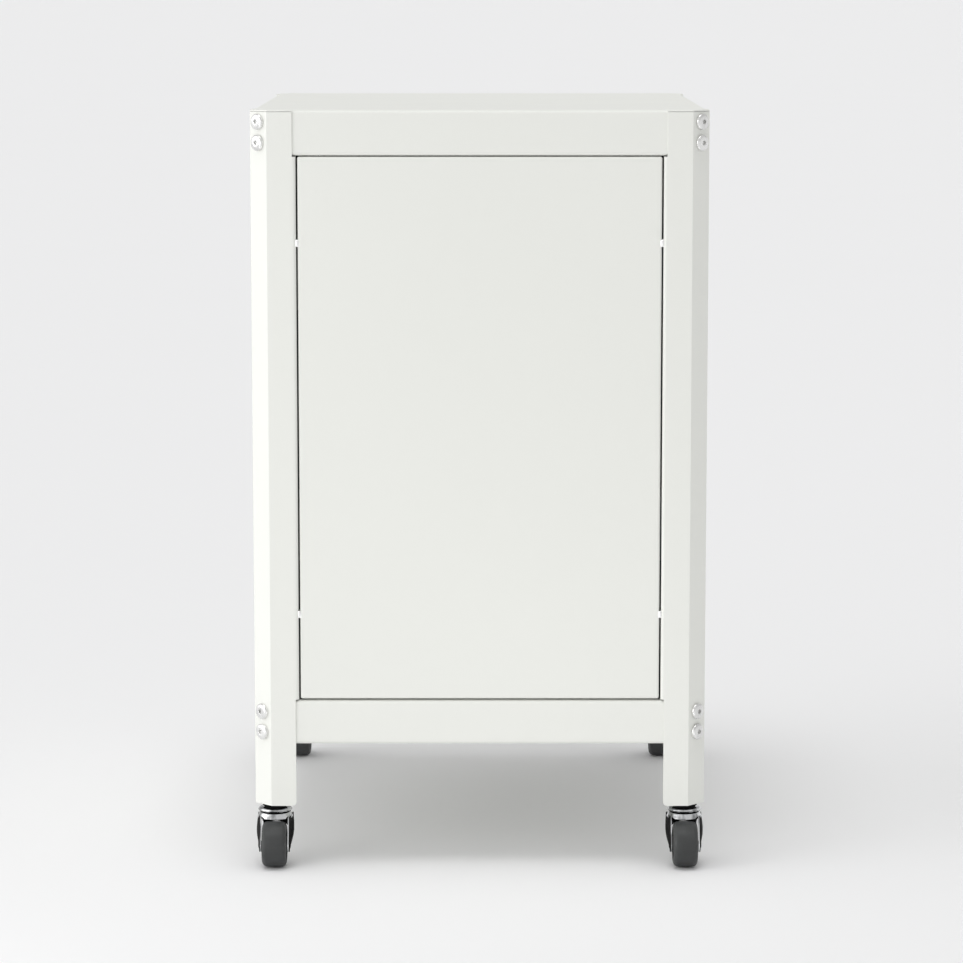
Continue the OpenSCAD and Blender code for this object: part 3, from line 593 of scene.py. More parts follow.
def folded_profile(depth, fold, thickness, hem=0.0, steps=5):
    """Section of a folded edge as insets and heights, the closed face at height 0 and the edge below:
    over the outer fold, down the wall, round the hem if there is one, and back up the inside."""
    margin = 0.8 * MM
    r_in = fold - thickness
    outer = np.vstack(([[fold + margin, 0]], arc((fold, -fold), fold, 90, 180, steps)))
    if hem:
        low = arc((fold, fold - depth), fold, 180, 270, steps)
        low_in = arc((fold, fold - depth), r_in, 270, 180, steps)
        edge = np.vstack((low, [[hem, -depth], [hem, thickness - depth]], low_in))
    else:
        edge = np.array([[0, -depth], [thickness, -depth]])
    inner = arc((fold, -fold), r_in, 180, 90, steps)
    return np.vstack((outer, edge, inner, [[fold + margin, -thickness]]))


def tray_skin(sheet, hem, top):
    """Tray on an octagonal outline with lightly rounded upright corners, its folded edge carried round."""
    corners = inset_outline(octagon(WIDTH, DEPTH, sheet.chamfer), SHEET, 0.0, 0)
    height = TOP_HIGH[2] - TOP_LOW[2]
    profile = folded_profile(height, sheet.tray_fold, SHEET, SHEET + hem)
    skin = Skin().tube(carried_round(corners, profile, radius=2.4 * MM, steps=4))
    if top:
        return skin.moved(np.eye(3), (0, 0, TOP_HIGH[2]))
    return skin.moved(np.diag([1, 1, -1]), (0, 0, TRAY_LOW[2]))


def lips_skin(sheet, per_corner=4):
    """Four lips that cover the posts' upper ends: a rounded edge carried along three sides of each
    corner of the outline, from one apron to the next, with per_corner points round each bend."""
    reach, r = sheet.fold + SHEET, 0.55 * MM
    edge = np.vstack((
        [[reach, 0], [r + 0.5 * MM, 0]],
        arc((r, -r), r, 90, 180, 3),
        arc((r, r - SHEET), r, 180, 270, 3),
        [[reach, -SHEET]],
    ))
    corners = octagon(WIDTH, DEPTH, sheet.chamfer)
    grid = carried_round(corners, edge, radius=1.2 * MM, steps=per_corner - 1)
    flat = POST_W - sheet.post_fold
    skin = Skin()
    for number, (sx, sy) in enumerate(((1, 1), (-1, 1), (-1, -1), (1, -1))):
        first = (1 + 2 * number) * per_corner
        ring = np.take(grid, np.arange(first, first + 2 * per_corner), axis=1, mode="wrap")
        limits = ((WIDTH / 2 - flat) * sx, (DEPTH / 2 - flat) * sy)
        before, after = (1, 0) if sx == sy else (0, 1)
        head, tail = ring[:, :1].copy(), ring[:, -1:].copy()
        head[..., before], tail[..., after] = limits[before], limits[after]
        skin.tube(np.concatenate((head, ring, tail), 1).transpose(1, 0, 2))
    return skin.moved(np.eye(3), (0, 0, HEIGHT))


def pan_skin(width, height, depth, sheet):
    """Shallow pan, face up at height 0: its folded edge carried round a rectangle."""
    profile = folded_profile(depth, sheet.fold, SHEET)
    grid = carried_round(rectangle(width, height), profile, radius=sheet.panel_corner, steps=4)
    return Skin().tube(grid)


def paint_slot_shade(piece, finish, planes):
    """Painted shade on the walls of the narrow slots: a near-black second finish on the flat faces that lie
    in one of the upright planes (axis, distance from the middle) and look along that axis."""
    data = piece.data
    data.materials.append(finish)
    centres, normals = np.empty(len(data.polygons) * 3), np.empty(len(data.polygons) * 3)
    data.polygons.foreach_get("center", centres)
    data.polygons.foreach_get("normal", normals)
    centres, normals = np.abs(centres.reshape(-1, 3)), np.abs(normals.reshape(-1, 3))
    chosen = np.zeros(len(data.polygons), int)
    for axis, distance in planes:
        chosen[(normals[:, axis] > 0.99) & (np.abs(centres[:, axis] - distance) < 0.1 * MM)] = 1
    data.polygons.foreach_set("material_index", chosen)


def build_carcass(settings):
    """The four corner posts, and the two trays, the top one with its lips."""
    sheet, coat = settings.sheet, FINISHES["coat"]
    slot_walls = [(0, WIDTH / 2 - POST_W), (1, DEPTH / 2 - POST_W)]
    for corner, (sx, sy) in CORNERS.items():
        node = f"post_{corner}"
        skin = post_skin(sheet, sx, sy)
        post = piece_from(skin, f"{node}_folded", "carcass", coat, [node], bevel=sheet.edge)
        # painted shade: the post's flange walls facing the slots get the near-black finish
        paint_slot_shade(post, FINISHES["thin_coat"], slot_walls)
    top = tray_skin(sheet, sheet.top_hem, top=True).copies(lips_skin(sheet), [UNMOVED])
    piece_from(top, "top_tray_folded", "carcass", coat, ["top_tray"])
    base = tray_skin(sheet, sheet.bottom_hem, top=False)
    piece_from(base, "bottom_tray_folded", "carcass", coat, ["bottom_tray"])


def build_panels(settings):
    """Back and side panels: a pan stood upright in the place of each node."""
    sheet, coat = settings.sheet, FINISHES["coat"]
    facing = {"back_panel": (0, 1, 0), "side_panel_left": (-1, 0, 0), "side_panel_right": (1, 0, 0)}
    for node, normal in facing.items():
        low, high = span(node)
        size, normal = high - low, np.array(normal, float)
        along = 0 if normal[0] == 0 else 1
        depth, width = abs(size @ normal), size[along]
        face = (low + high) / 2 + normal * depth / 2
        skin = pan_skin(width, size[2], depth, sheet).moved(turned_to(normal), face)
        panel = piece_from(skin, f"{node}_folded", "carcass", coat, [node], bevel=sheet.edge)
        # painted shade: the panel's edge walls facing the slots get the near-black finish
        paint_slot_shade(panel, FINISHES["thin_coat"], [(along, width / 2)])


# ---------- small hardware ----------


def islands(node):
    """Boxes of a node's separate solids. Each point starts with its own number, and the two ends of
    every edge take the lower of their numbers until none changes."""
    data = joined(node)
    points = np.empty(len(data.vertices) * 3, np.float32)
    ends = np.empty(len(data.edges) * 2, np.int32)
    data.vertices.foreach_get("co", points)
    data.edges.foreach_get("vertices", ends)
    bpy.data.meshes.remove(data)
    points, ends = points.reshape(-1, 3).astype(float), ends.reshape(-1, 2)
    number, before = np.arange(len(points)), None
    while not np.array_equal(number, before):
        before, lowest = number.copy(), number[ends].min(1)
        for end in ends.T:
            np.minimum.at(number, end, lowest)
    groups = [points[number == first] for first in np.unique(number)]
    return [(group.min(0), group.max(0)) for group in groups]


def clip_skin(width, height, depth, head, base):
    """Spring clip: a strip in the gap and a head that laps over both edges of it.

    The head's crown stands rise * cos(pi / 2 * u) * (1 - v ** 4) over its rim, with u across and v
    along the head, both from -1 to 1.
    """
    rim, rise = 0.1 * MM, 0.85 * MM
    across, along = np.linspace(-1, 1, 15), np.linspace(-1, 1, 15)
    foot = np.array([
        (head / 2, base), (width / 2, base), (width / 2, -depth),
        (-width / 2, -depth), (-width / 2, base), (-head / 2, base),
    ])
    rows = []
    for share in along:
        crown = base + rim + rise * np.cos(np.pi / 2 * across) * (1 - share**4)
        section = np.vstack((np.column_stack((head / 2 * across, crown)), foot))
        rows.append(np.column_stack((section[:, 0], np.full(len(section), share * height / 2), section[:, 1])))
    return Skin().tube(np.stack(rows))


def build_clips(settings):
    """A clip in the place of each of the node's solids, facing out of its panel."""
    lap, sink = 0.6 * MM, 1.5 * MM
    skin = Skin()
    for low, high in islands("panel_clips"):
        centre, size = (low + high) / 2, high - low
        across, facing = (0, 1) if size[0] < size[1] else (1, 0)
        normal = np.zeros(3)
        normal[facing] = math.copysign(1, centre[facing]) if facing == 0 else 1
        face = centre + normal * size[facing] / 2
        base = (WIDTH, DEPTH)[facing] / 2 - abs(face[facing]) - sink
        clip = clip_skin(size[across], size[2] + lap, size[facing], settings.hardware.clip_head, base)
        skin.copies(clip, [(turned_to(normal), face)])
    piece_from(skin, "panel_clips_sprung", "carcass", FINISHES["clip"], ["panel_clips"])


def hexagonal(angle):
    """Distance to the side of a hexagon of unit inner radius at each angle: one over the cosine of
    the angle to that side's middle."""
    sixth = np.pi / 3
    return 1 / np.cos((angle % sixth) - sixth / 2)


def button_head(radius, height, shaft_radius, length, socket, steps=36):
    """Button head: a low dome over an upright rim, its hexagon socket sunk from the crown; the rings
    run from the shaft's end, under the head, over the dome and down the socket to its floor. The
    dome's radius falls with cos(t) ** 0.8 while its height rises with sin(t) ** 0.9."""
    angle = np.linspace(0, 2 * np.pi, steps, endpoint=False)
    hexagon, whole = socket * hexagonal(angle), np.ones(steps)
    bend, rim = np.radians(np.linspace(0, 90, 8)), 0.4 * height
    dome_r = radius * (0.42 + 0.58 * np.cos(bend) ** 0.8)
    dome_z = rim + (height - rim) * np.sin(bend) ** 0.9
    rings = [(shaft_radius, -length), (shaft_radius, 0), (0.985 * radius, 0), (radius, 0.03 * height)]
    rings = [(r * whole, z) for r, z in rings + list(zip(dome_r, dome_z))]
    well = ((1.12, 1), (1.03, 0.985), (1, 0.93), (1, 0.32), (0.45, 0.2))
    rings += [(hexagon * share, level * height) for share, level in well]
    return Skin().tube(np.stack([
        np.column_stack((r * np.cos(angle), r * np.sin(angle), np.full(steps, z))) for r, z in rings
    ]))


def build_frame_screws(settings):
    """Frame screws stand on the chamfers: their axis is the corner's diagonal."""
    chamfer, sizes = settings.sheet.chamfer, settings.hardware
    shaft_radius, shaft_length = 3 * MM, 14 * MM
    heights = sorted({round((low[2] + high[2]) / 2, 5) for low, high in islands("frame_screws")})
    places = []
    for sx, sy in CORNERS.values():
        middle = np.array([sx * (WIDTH - chamfer) / 2, sy * (DEPTH - chamfer) / 2, 0])
        places += [(turned_to((sx, sy, 0)), middle + UP * z) for z in heights]
    screw = button_head(sizes.head, sizes.head_height, shaft_radius, shaft_length, sizes.socket)
    skin = Skin().copies(screw, places)
    piece_from(skin, "frame_screws_button", "carcass", FINISHES["screw"], ["frame_screws"])


# ---------- pulls ----------


def cup_skin(width, height, depth):
    """Pressed cup: the section of rim, rolled edge, sloping wall, round floor and back again, carried
    round a rounded rectangle."""
    rim, wall, t = 4 * MM, 0.7 * MM, 1.5 * MM
    floor_r, face = 4 * MM, 1 * MM
    mouth = rim + 1.6 * MM
    bottom = mouth + wall
    inner = np.vstack((
        [[0.0, 0.05 * MM], [0.12 * MM, 0.6 * MM], [0.6 * MM, face], [mouth - 1.4 * MM, face]],
        arc((mouth - 1.0 * MM, face - 1.0 * MM), 1.0 * MM, 90, 0, 4),
        [[bottom - 0.2 * MM, floor_r + t - depth]],
        arc((bottom + floor_r - 0.2 * MM, floor_r + t - depth), floor_r, 180, 270, 6),
        [[bottom + floor_r + 1 * MM, t - depth]],
    ))
    outer = np.array([
        [bottom + floor_r + 1 * MM, -depth], [bottom + 1.2 * MM, -depth], [bottom - t, floor_r - depth],
        [rim + 0.4 * MM, -0.2 * MM], [rim, 0.0], [0.0, 0.0],
    ])
    grid = carried_round(rectangle(width, height), np.vstack((inner, outer)), radius=12 * MM, steps=8)
    return Skin().tube(grid)


def build_pulls(settings):
    """A pressed cup in the place of each pull, its rim standing on the drawer's front."""
    stand = 1 * MM
    for drawer in DRAWERS:
        node = f"pull_{drawer}"
        low, high = span(node)
        size = high - low
        face = np.array([(low[0] + high[0]) / 2, low[1] + stand, (low[2] + high[2]) / 2])
        skin = cup_skin(size[0], size[2], size[1] - stand).moved(turned_to((0, -1, 0)), face)
        piece_from(skin, f"{node}_pressed", f"{drawer}_drawer", FINISHES["pull"], [node])


# ---------- drawers, slides and lock ----------


def build_drawers(settings):
    """Drawer fronts and tubs, and the bars for hanging files."""
    edge, coat = settings.sheet.edge, FINISHES["coat"]
    for drawer in DRAWERS:
        for part in ("drawer_front", "drawer_tub"):
            node = f"{part}_{drawer}"
            refined(node, f"{node}_folded", f"{drawer}_drawer", coat, bevel=edge)
    refined("hanging_bars", "hanging_bars_cut", "lower_drawer", FINISHES["zinc"], bevel=edge)


def build_slides(settings):
    """The three members of the slides, the rails that carry them, the divider and the foot plates."""
    edge, zinc = settings.sheet.edge, FINISHES["zinc"]
    for drawer in DRAWERS:
        bodies = {"outers": "carcass", "middles": f"{drawer}_slide_middles", "inners": f"{drawer}_drawer"}
        for part, body in bodies.items():
            node = f"slide_{part}_{drawer}"
            refined(node, f"{node}_rolled", body, zinc, bevel=edge)
    for node, made in (("slide_rails", "cut"), ("divider_rail", "folded"), ("foot_plates", "cut")):
        refined(node, f"{node}_{made}", "carcass", zinc, bevel=edge)


def build_lock(settings):
    """Lock housing, core, cam and nut."""
    satin, zinc = FINISHES["satin"], FINISHES["zinc"]
    refined("lock_housing", "lock_housing_turned", "upper_drawer", satin, bevel=0.3 * MM)
    refined("lock_core", "lock_core_turned", "lock", satin, bevel=0.2 * MM)
    refined("lock_cam", "lock_cam_stamped", "lock", zinc, bevel=0.2 * MM)
    refined("lock_nut", "lock_nut_cut", "upper_drawer", zinc, bevel=0.3 * MM)


# ---------- castors ----------


def turned_skin(profile, steps):
    """Closed profile of radius and height in millimetres turned about Z."""
    profile = np.asarray(profile, float)
    return Skin().grid(revolved(np.vstack((profile, profile[:1])), steps), closed=True)


def crown_skin(radius, low, high, bore, thickness):
    """Pressed crown of a fork: flat top, a raceway ridge, a rounded shoulder and a rolled lower lip,
    revolved, and back inside at the sheet's thickness."""
    shoulder = 3.2 * MM
    return turned_skin(np.vstack((
        [[bore, high], [radius * 0.55, high]],
        arc((radius - shoulder - 1.2 * MM, high - shoulder), shoulder, 88, 12, 7),
        [[radius - 0.75 * MM, low + 2.0 * MM], [radius - 0.1 * MM, low + 0.9 * MM], [radius, low + 0.4 * MM]],
        [[radius - 0.25 * MM, low], [radius - thickness, low], [radius - thickness - 0.4 * MM, low + 1.6 * MM]],
        [[radius - thickness - 2.6 * MM, high - thickness - 0.8 * MM]],
        [[radius * 0.5, high - thickness], [bore, high - thickness]],
    )), 64)


def crown_shade_lining_skin(radius, low, high, bore, thickness):
    """Black sheet under a crown that paints the shade inside it: a ring just below the crown's inside, revolved.
    """
    lining = np.array([
        [radius - thickness - 0.1 * MM, low + 0.3 * MM], [radius - thickness - 0.5 * MM, low + 1.6 * MM],
        [radius - thickness - 2.7 * MM, high - thickness - 0.9 * MM], [bore, high - thickness - 0.1 * MM],
    ])
    return turned_skin(np.vstack((lining, lining[::-1] - 0.2 * MM)), 48)


def web_skin(radius, thickness, low, high, half_turn=math.radians(62), columns=17):
    """Web of a fork, before the wheel: an arc about the stem's axis that joins the two legs, its lower
    edge arched up in the middle by a cosine."""
    turn = np.linspace(-half_turn, half_turn, columns)
    lower = low + 3 * MM * np.cos(turn / half_turn * np.pi / 2)
    share = np.linspace(0, 1, 6)[:, None]
    z = lower * (1 - share) + high * share
    around = np.stack((np.broadcast_to(np.sin(turn), z.shape), np.broadcast_to(-np.cos(turn), z.shape)), -1)
    outer, inner = (np.concatenate((r * around, z[..., None]), -1) for r in (radius, radius - thickness))
    return Skin().tube(np.concatenate((outer, inner[:, ::-1]), 1))


def leg_edges(trail, wheel_z, end_radius, crown_low, crown_radius, rows=9):
    """Back and front edge of a fork's leg from the crown down: straight to where they touch the round
    end, then both run round it to its lowest point. Each point is a trail and a height."""
    axle = np.array([trail, wheel_z])
    starts = np.array([
        [-0.68 * crown_radius, crown_low + 1.6 * MM], [0.84 * crown_radius, crown_low + 1.8 * MM]
    ])
    down = axle - starts.mean(0)
    lowest = math.atan2(down[1], down[0])
    edges = []
    for start, side in zip(starts, (-1, 1)):
        reach = start - axle
        lean = math.acos(end_radius / np.linalg.norm(reach))
        angle = math.atan2(reach[1], reach[0]) - side * lean
        gap = (lowest - angle + math.pi) % (2 * math.pi) - math.pi
        round_end = axle + end_radius * unit_arc(math.degrees(angle), math.degrees(angle + gap), 7)
        straight = start + (round_end[0] - start) * np.linspace(0, 1, rows)[:, None]
        edges.append(np.vstack((straight, round_end[1:])))
    return edges


def leg_skin(side, face, thickness, edges, bulge, wheel_z, margin=0.0):
    """Cheek of a fork: rows between its back and front edge, closed at the sheet's thickness. Its front
    edge lies in a plane beside the wheel; towards the back it bulges out by a quarter sine of the
    height, which eases off again near the crown."""
    back, front = edges
    share = np.linspace(margin, 1 - margin, 9)[None, :, None]
    plane = back[:, None] * (1 - share) + front[:, None] * share
    if margin:
        plane = plane[:-2]
    rise = np.clip((plane[..., 1] - wheel_z + 4 * MM) / (14 * MM), 0, 1)
    ease = np.clip((plane[..., 1] - wheel_z - 10 * MM) / (11 * MM), 0, 1)
    out = bulge * (np.sin(rise * np.pi / 2) - 0.3 * ease**2) * (1 - share[..., 0])
    inner = np.stack((side * (face + out), plane[..., 0], plane[..., 1]), -1)
    outer = inner + np.array([side * thickness, 0, 0])
    skin = Skin().grid(inner).grid(outer)
    for end in (0, -1):
        skin.grid(np.stack((inner[:, end], outer[:, end]))).grid(np.stack((inner[end], outer[end])))
    return skin


def tyre_skin(radius, width, bore):
    """Tyre: a slightly crowned tread, elliptical shoulders, a fine mould line in the middle, and side
    walls that step in to the hub, revolved about its axle."""
    half, crown = width / 2, 0.35 * MM
    rise, reach = 5.2 * MM, 4.2 * MM
    bend = unit_arc(90, 12, 8)
    upper = np.vstack((
        [[radius - 0.01 * MM, 0.0], [radius, 0.22 * MM], [radius - crown * 0.15, half * 0.3]],
        [[radius - crown * 0.5, half - reach * 1.25]],
        np.column_stack((radius - rise + (rise - crown) * bend[:, 1], half - reach + reach * bend[:, 0])),
        [[radius - rise - 0.2 * MM, half - 0.02 * MM]],
        [[bore + 0.5 * MM, half - 0.15 * MM], [bore, half - 0.7 * MM]],
    ))
    return turned_skin(np.vstack((upper[:0:-1] * (1, -1), upper)), 72)


def hub_skin(radius, width, boss_radius, boss_width, bore, steps=72):
    """Hub: rim, a web sunk between rim and boss with six ribs, and the boss. The web's depth is a
    function of radius and angle: a smooth well, less the ribs' narrow cosine ridges."""
    angle = np.linspace(0, 2 * np.pi, steps, endpoint=False)
    half, boss_half = width / 2, boss_width / 2
    # radius, height and share of the ribs' height from the rim in to the bore
    radii, level, in_web = np.array([
        (radius, half - 0.4 * MM, 0), (radius - 0.4 * MM, half, 0), (radius - 1.8 * MM, half, 0),
        (radius - 2.4 * MM, half - 0.5 * MM, 0.2), (radius - 3.4 * MM, half - 3 * MM, 1),
        (boss_radius + 2.4 * MM, half - 3 * MM, 1), (boss_radius + 1.2 * MM, half - 2.2 * MM, 0.8),
        (boss_radius + 0.3 * MM, boss_half - 0.3 * MM, 0), (boss_radius, boss_half, 0),
        (bore + 0.3 * MM, boss_half, 0), (bore, boss_half - 0.3 * MM, 0),
    ]).T[:, :, None]
    ribs = 2.2 * MM * np.clip(np.cos(6 * angle) * 3 - 2.1, 0, 1)
    face = np.stack((radii * np.cos(angle), radii * np.sin(angle), level + in_web * ribs), -1)
    return Skin().grid(np.concatenate((face, face[::-1] * (1, 1, -1), face[:1])), closed=True)


def axle_skin(radius, half, head_radius, head):
    """Axle: a pin with a domed head at each end, revolved."""
    shares = np.array([(0.5, 0.93), (0.82, 0.7), (1, 0.3), (1, 0)])
    dome = shares * (head_radius, head) + (0, half)
    end = np.vstack(([[POLE, half + head]], dome, [[radius, half]]))
    return Skin().tube(revolved(np.vstack((end, end[::-1] * (1, -1))), 32))


def stem_skins(plan):
    """Stem hardware: a dark collar with a waist under the post and a black ring in the gap over the crown,
    painted shade of that seam; a plated upper race whose lower edge curls over the balls; the stem itself."""
    stem_r = 4 * MM
    top, crown_top = plan.stem_top, plan.crown_top
    collar_r, collar_low, collar_high = plan.collar, plan.foot - plan.collar_height, plan.foot
    race_r, race_low, race_high = plan.race, crown_top + 0.4 * MM, collar_low
    # painted shade: a black ring fills the gap between crown and race
    seam_shade_r, seam_shade_low, seam_shade_high = race_r - 0.9 * MM, crown_top + 0.05 * MM, race_low + 1.2 * MM
    dark = turned_skin([
        [stem_r, collar_high], [collar_r - 0.6 * MM, collar_high], [collar_r, collar_high - 0.6 * MM],
        [collar_r, collar_low + 1.6 * MM], [collar_r - 1.2 * MM, collar_low + 0.8 * MM],
        [collar_r - 1.4 * MM, collar_low], [stem_r, collar_low],
    ], 48)
    seam_shade_ring = [[stem_r, seam_shade_high], [seam_shade_r, seam_shade_high], [seam_shade_r, seam_shade_low], [stem_r, seam_shade_low]]
    dark.copies(turned_skin(seam_shade_ring, 48), [UNMOVED])
    bright = turned_skin(np.vstack((
        [[stem_r - 0.1 * MM, race_high], [race_r * 0.62, race_high]],
        arc((race_r - 2.4 * MM, race_high - 1.9 * MM), 1.9 * MM, 80, 8, 6),
        [[race_r, race_low + 0.9 * MM], [race_r - 0.2 * MM, race_low + 0.45 * MM]],
        [[race_r - 1.4 * MM, race_low + 0.4 * MM], [race_r - 3.4 * MM, race_low + 1.0 * MM]],
        [[stem_r - 0.1 * MM, race_low + 1.0 * MM]],
    )), 64)
    stem = [
        [POLE, top], [3.4 * MM, top], [stem_r, top - 0.6 * MM], [stem_r, crown_top - 1.9 * MM],
        [6.3 * MM, crown_top - 2.1 * MM], [6.0 * MM, crown_top - 4.0 * MM], [POLE, crown_top - 4.3 * MM],
    ]
    return dark, bright.tube(revolved(stem, 32))


def joint_place(name):
    """Where a hinge's axis passes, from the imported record."""
    joint = next(j for j in frame["joints"] if j["name"] == name)
    return np.array(joint["pos_m"])


def castor_plan(sizes):
    """Sizes and heights that the four castors share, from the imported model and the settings."""
    tyre_low, tyre_high = span("wheel_tyre_back_right")
    fork_low, fork_high = span("castor_fork_back_right")
    hub_low, hub_high = span("wheel_hub_back_right")
    tyre, hub = tyre_high - tyre_low, hub_high - hub_low
    return SimpleNamespace(
        wheel_radius=tyre[2] / 2, wheel_z=(tyre_high[2] + tyre_low[2]) / 2, tyre_width=tyre[0],
        hub_radius=hub[2] / 2, hub_width=hub[0], face=hub[0] / 2 + sizes.leg_gap, sheet=sizes.fork_sheet,
        crown_radius=(fork_high[0] - fork_low[0]) / 2, crown_low=tyre[2] + 1 * MM, crown_top=fork_high[2],
        leg_end=sizes.leg_end, leg_bulge=sizes.leg_bulge, foot=POST_LOW[2], stem_top=span("castor_stems")[1][2],
        collar=sizes.collar, collar_height=sizes.collar_height, race=sizes.race,
    )


def fork_skins(plan, trail):
    """Plated and black skins of a fork about the stem's axis, with the wheel towards +Y: the crown and
    the web, each with a black lining that paints the shade inside the fork, and two legs with a cover outside and
    a black lining inside that paints the shade between leg and wheel."""
    crown = (plan.crown_radius, plan.crown_low, plan.crown_top, 4.1 * MM, plan.sheet)
    # painted shade: the black lining under the crown
    bright, black = crown_skin(*crown), crown_shade_lining_skin(*crown)
    web_low, web_high = plan.wheel_z + 11 * MM, plan.crown_low + 1 * MM
    # painted shade: a thin black sheet just inside the web
    for skin, inset, thickness in ((bright, 2 * MM, 1 * MM), (black, 3.05 * MM, 0.2 * MM)):
        skin.copies(web_skin(plan.crown_radius - inset, thickness, web_low, web_high), [UNMOVED])
    edges = leg_edges(trail, plan.wheel_z, plan.leg_end, plan.crown_low, plan.crown_radius)
    leg = plan.sheet - 0.5 * MM
    # outside each leg a black cover; inside it a thin black sheet, painted shade between leg and wheel
    layers = (
        (bright, 0.0, leg, 0.0), (black, leg - 0.05 * MM, 0.75 * MM, 0.03), (black, -0.2 * MM, 0.25 * MM, 0.04),
    )
    for side in (-1, 1):
        for skin, depth, thickness, margin in layers:
            cheek = leg_skin(side, plan.face + depth, thickness, edges, plan.leg_bulge, plan.wheel_z, margin)
            skin.copies(cheek, [UNMOVED])
    return bright, black


def build_castors(settings):
    """Stems, forks, axles, hubs and tyres; the wheels trail outwards at the front and the back."""
    plan = castor_plan(settings.hardware)
    chrome, dark = FINISHES["chrome"], FINISHES["dark"]
    axle_radius, boss_radius, running = 3 * MM, 6 * MM, 0.06 * MM
    across = turned_to((1, 0, 0))
    collars, races = Skin(), Skin()
    for corner, (_, sy) in CORNERS.items():
        turn = np.diag([sy, sy, 1.0])
        wheel = joint_place(f"spin_{corner}")
        origin = joint_place(f"swivel_{corner}") * (1, 1, 0)
        rolled = (turn @ across, wheel)
        bright, black = fork_skins(plan, abs(wheel[1] - origin[1]))
        fork, node = f"fork_{corner}", f"castor_fork_{corner}"
        for skin, made, finish in ((bright, "pressed", chrome), (black, "cheeks_and_shade_linings", dark)):
            skin.moved(turn, origin)
            piece_from(skin, f"{node}_{made}", fork, finish, [node], angle=40)
        axle = axle_skin(axle_radius, plan.face + plan.sheet, 4.25 * MM, 1.2 * MM)
        tyre = tyre_skin(plan.wheel_radius, plan.tyre_width, plan.hub_radius)
        hub = hub_skin(
            plan.hub_radius, plan.tyre_width - 4 * MM, boss_radius, plan.hub_width, axle_radius + running
        )
        for skin, node, made, body, finish, slot in (
            (axle, f"castor_axle_{corner}", "riveted", fork, dark, "chrome_steel"),
            (tyre, f"wheel_tyre_{corner}", "moulded", f"wheel_{corner}", FINISHES["tyre"], "tyre"),
            (hub, f"wheel_hub_{corner}", "moulded", f"wheel_{corner}", FINISHES["hub"], "wheel_hub"),
        ):
            piece_from(skin.moved(*rolled), f"{node}_{made}", body, finish, [node])
        collar, race = stem_skins(plan)
        collars.copies(collar, [(turn, origin)])
        races.copies(race, [(turn, origin)])
    piece_from(collars, "castor_collars", "carcass", dark, ["castor_stems"])
    piece_from(races, "castor_races", "carcass", chrome, ["castor_stems"], angle=40)


# ---------- finishes on the nodes that stay ----------


def build_finishes(settings):
    """The finishes, and the one that suits its slot on every CAD node."""
    colours = settings.finish
    FINISHES.update(
        coat=powder_coat("powder_coat", tuple(colours.paint), colours.paint_roughness),
        # painted shade: near-black finish for the walls of the slots
        thin_coat=powder_coat("thin_coat_in_slots", tuple(colours.slot), 0.7),
        zinc=zinc_plate("zinc_plate", tuple(colours.zinc)),
        clip=zinc_plate("bright_clip", tuple(colours.clip)),
        # screw, castor and lock plating carry painted reflections in their colour, the castors' darkest at 0.42
        screw=chrome_plate("screw_plate", tuple(colours.screw), 0.24),
        chrome=chrome_plate("castor_chrome", tuple(colours.chrome), 0.12, 0.42),
        # black of covers, collars and axles, and painted shade of the linings and the gap ring
        dark=moulded_nylon("black_cover_and_shade_linings", tuple(colours.cover), 0.8, 0.06),
        satin=chrome_plate("satin_nickel", tuple(colours.lock), 0.28),
        tyre=tyre_rubber("tyre_rubber", tuple(colours.tyre)),
        hub=moulded_nylon("hub_nylon", tuple(colours.hub)),
        pull=silver_lacquer("silver_lacquer", tuple(colours.pull)),
    )
    by_slot = {
        "white_paint": "coat", "zinc_steel": "zinc", "chrome_steel": "chrome", "lock_metal": "satin",
        "wheel_hub": "hub", "tyre": "tyre", "pull_metal": "pull",
    }
    for part in frame["record"]["subparts"]:
        materials = frame["nodes"][part["node"]].data.materials
        materials.clear()
        materials.append(FINISHES[by_slot[part["material_slot"]]])


# ---------- studio ----------


def studio_direction(turn, rise):
    """Unit vector from its turn from +Y towards +X and its rise above the floor."""
    return (math.sin(turn) * math.cos(rise), math.cos(turn) * math.cos(rise), math.sin(rise))


def placed(name, data, rotation, origin):
    """New object of the scene, turned and placed."""
    thing = bpy.data.objects.new(name, data)
    thing.matrix_world = matrix_of(rotation, origin)
    bpy.context.scene.collection.objects.link(thing)
    return thing


def lay_floor(studio):
    """Pale seamless floor: a flat square grid that faces up."""
    rows = np.linspace(-600.0, 600.0, 5)
    grid = np.stack(np.meshgrid(rows, rows, indexing="ij") + [np.zeros((5, 5))], -1)
    data = Skin().grid(grid).mesh("studio_floor", outward=False)
    if data.polygons[0].normal.z < 0:
        data.flip_normals()
    data.materials.append(floor_paper("floor_paper", tuple(studio.floor)))
    placed("studio_floor", data, *UNMOVED)


def soft_light(name, size, power, back, place):
    """Rectangular lamp that the camera doesn't see; back points away from what it lights."""
    light = bpy.data.lights.new(name, "AREA")
    light.shape, light.size, light.size_y, light.energy = "RECTANGLE", *size, power
    about = UP if abs(back[2]) < 0.9 else np.array([0.0, 1.0, 0.0])
    placed(name, light, turned_to(back, about), place).visible_camera = False


def hang_lights(studio):
    """A soft key overhead, a bounce card on the floor and an upright strip beside the back."""
    key = bpy.data.lights.new("key", "SUN")
    key.energy, key.angle = studio.key, studio.key_angle
    placed("key", key, turned_to(studio_direction(studio.key_turn, studio.key_rise)), (0, 0, 3))
    near = DEPTH / 2
    soft_light("bounce_card", (0.5, 0.3), studio.card, (0, 0, -1), (-0.12, near + 0.32, 0.01))
    soft_light("side_strip", (0.3, 1.0), studio.strip, (0.62, 0.5, 0.0), (0.62, near + 0.5, 0.5))


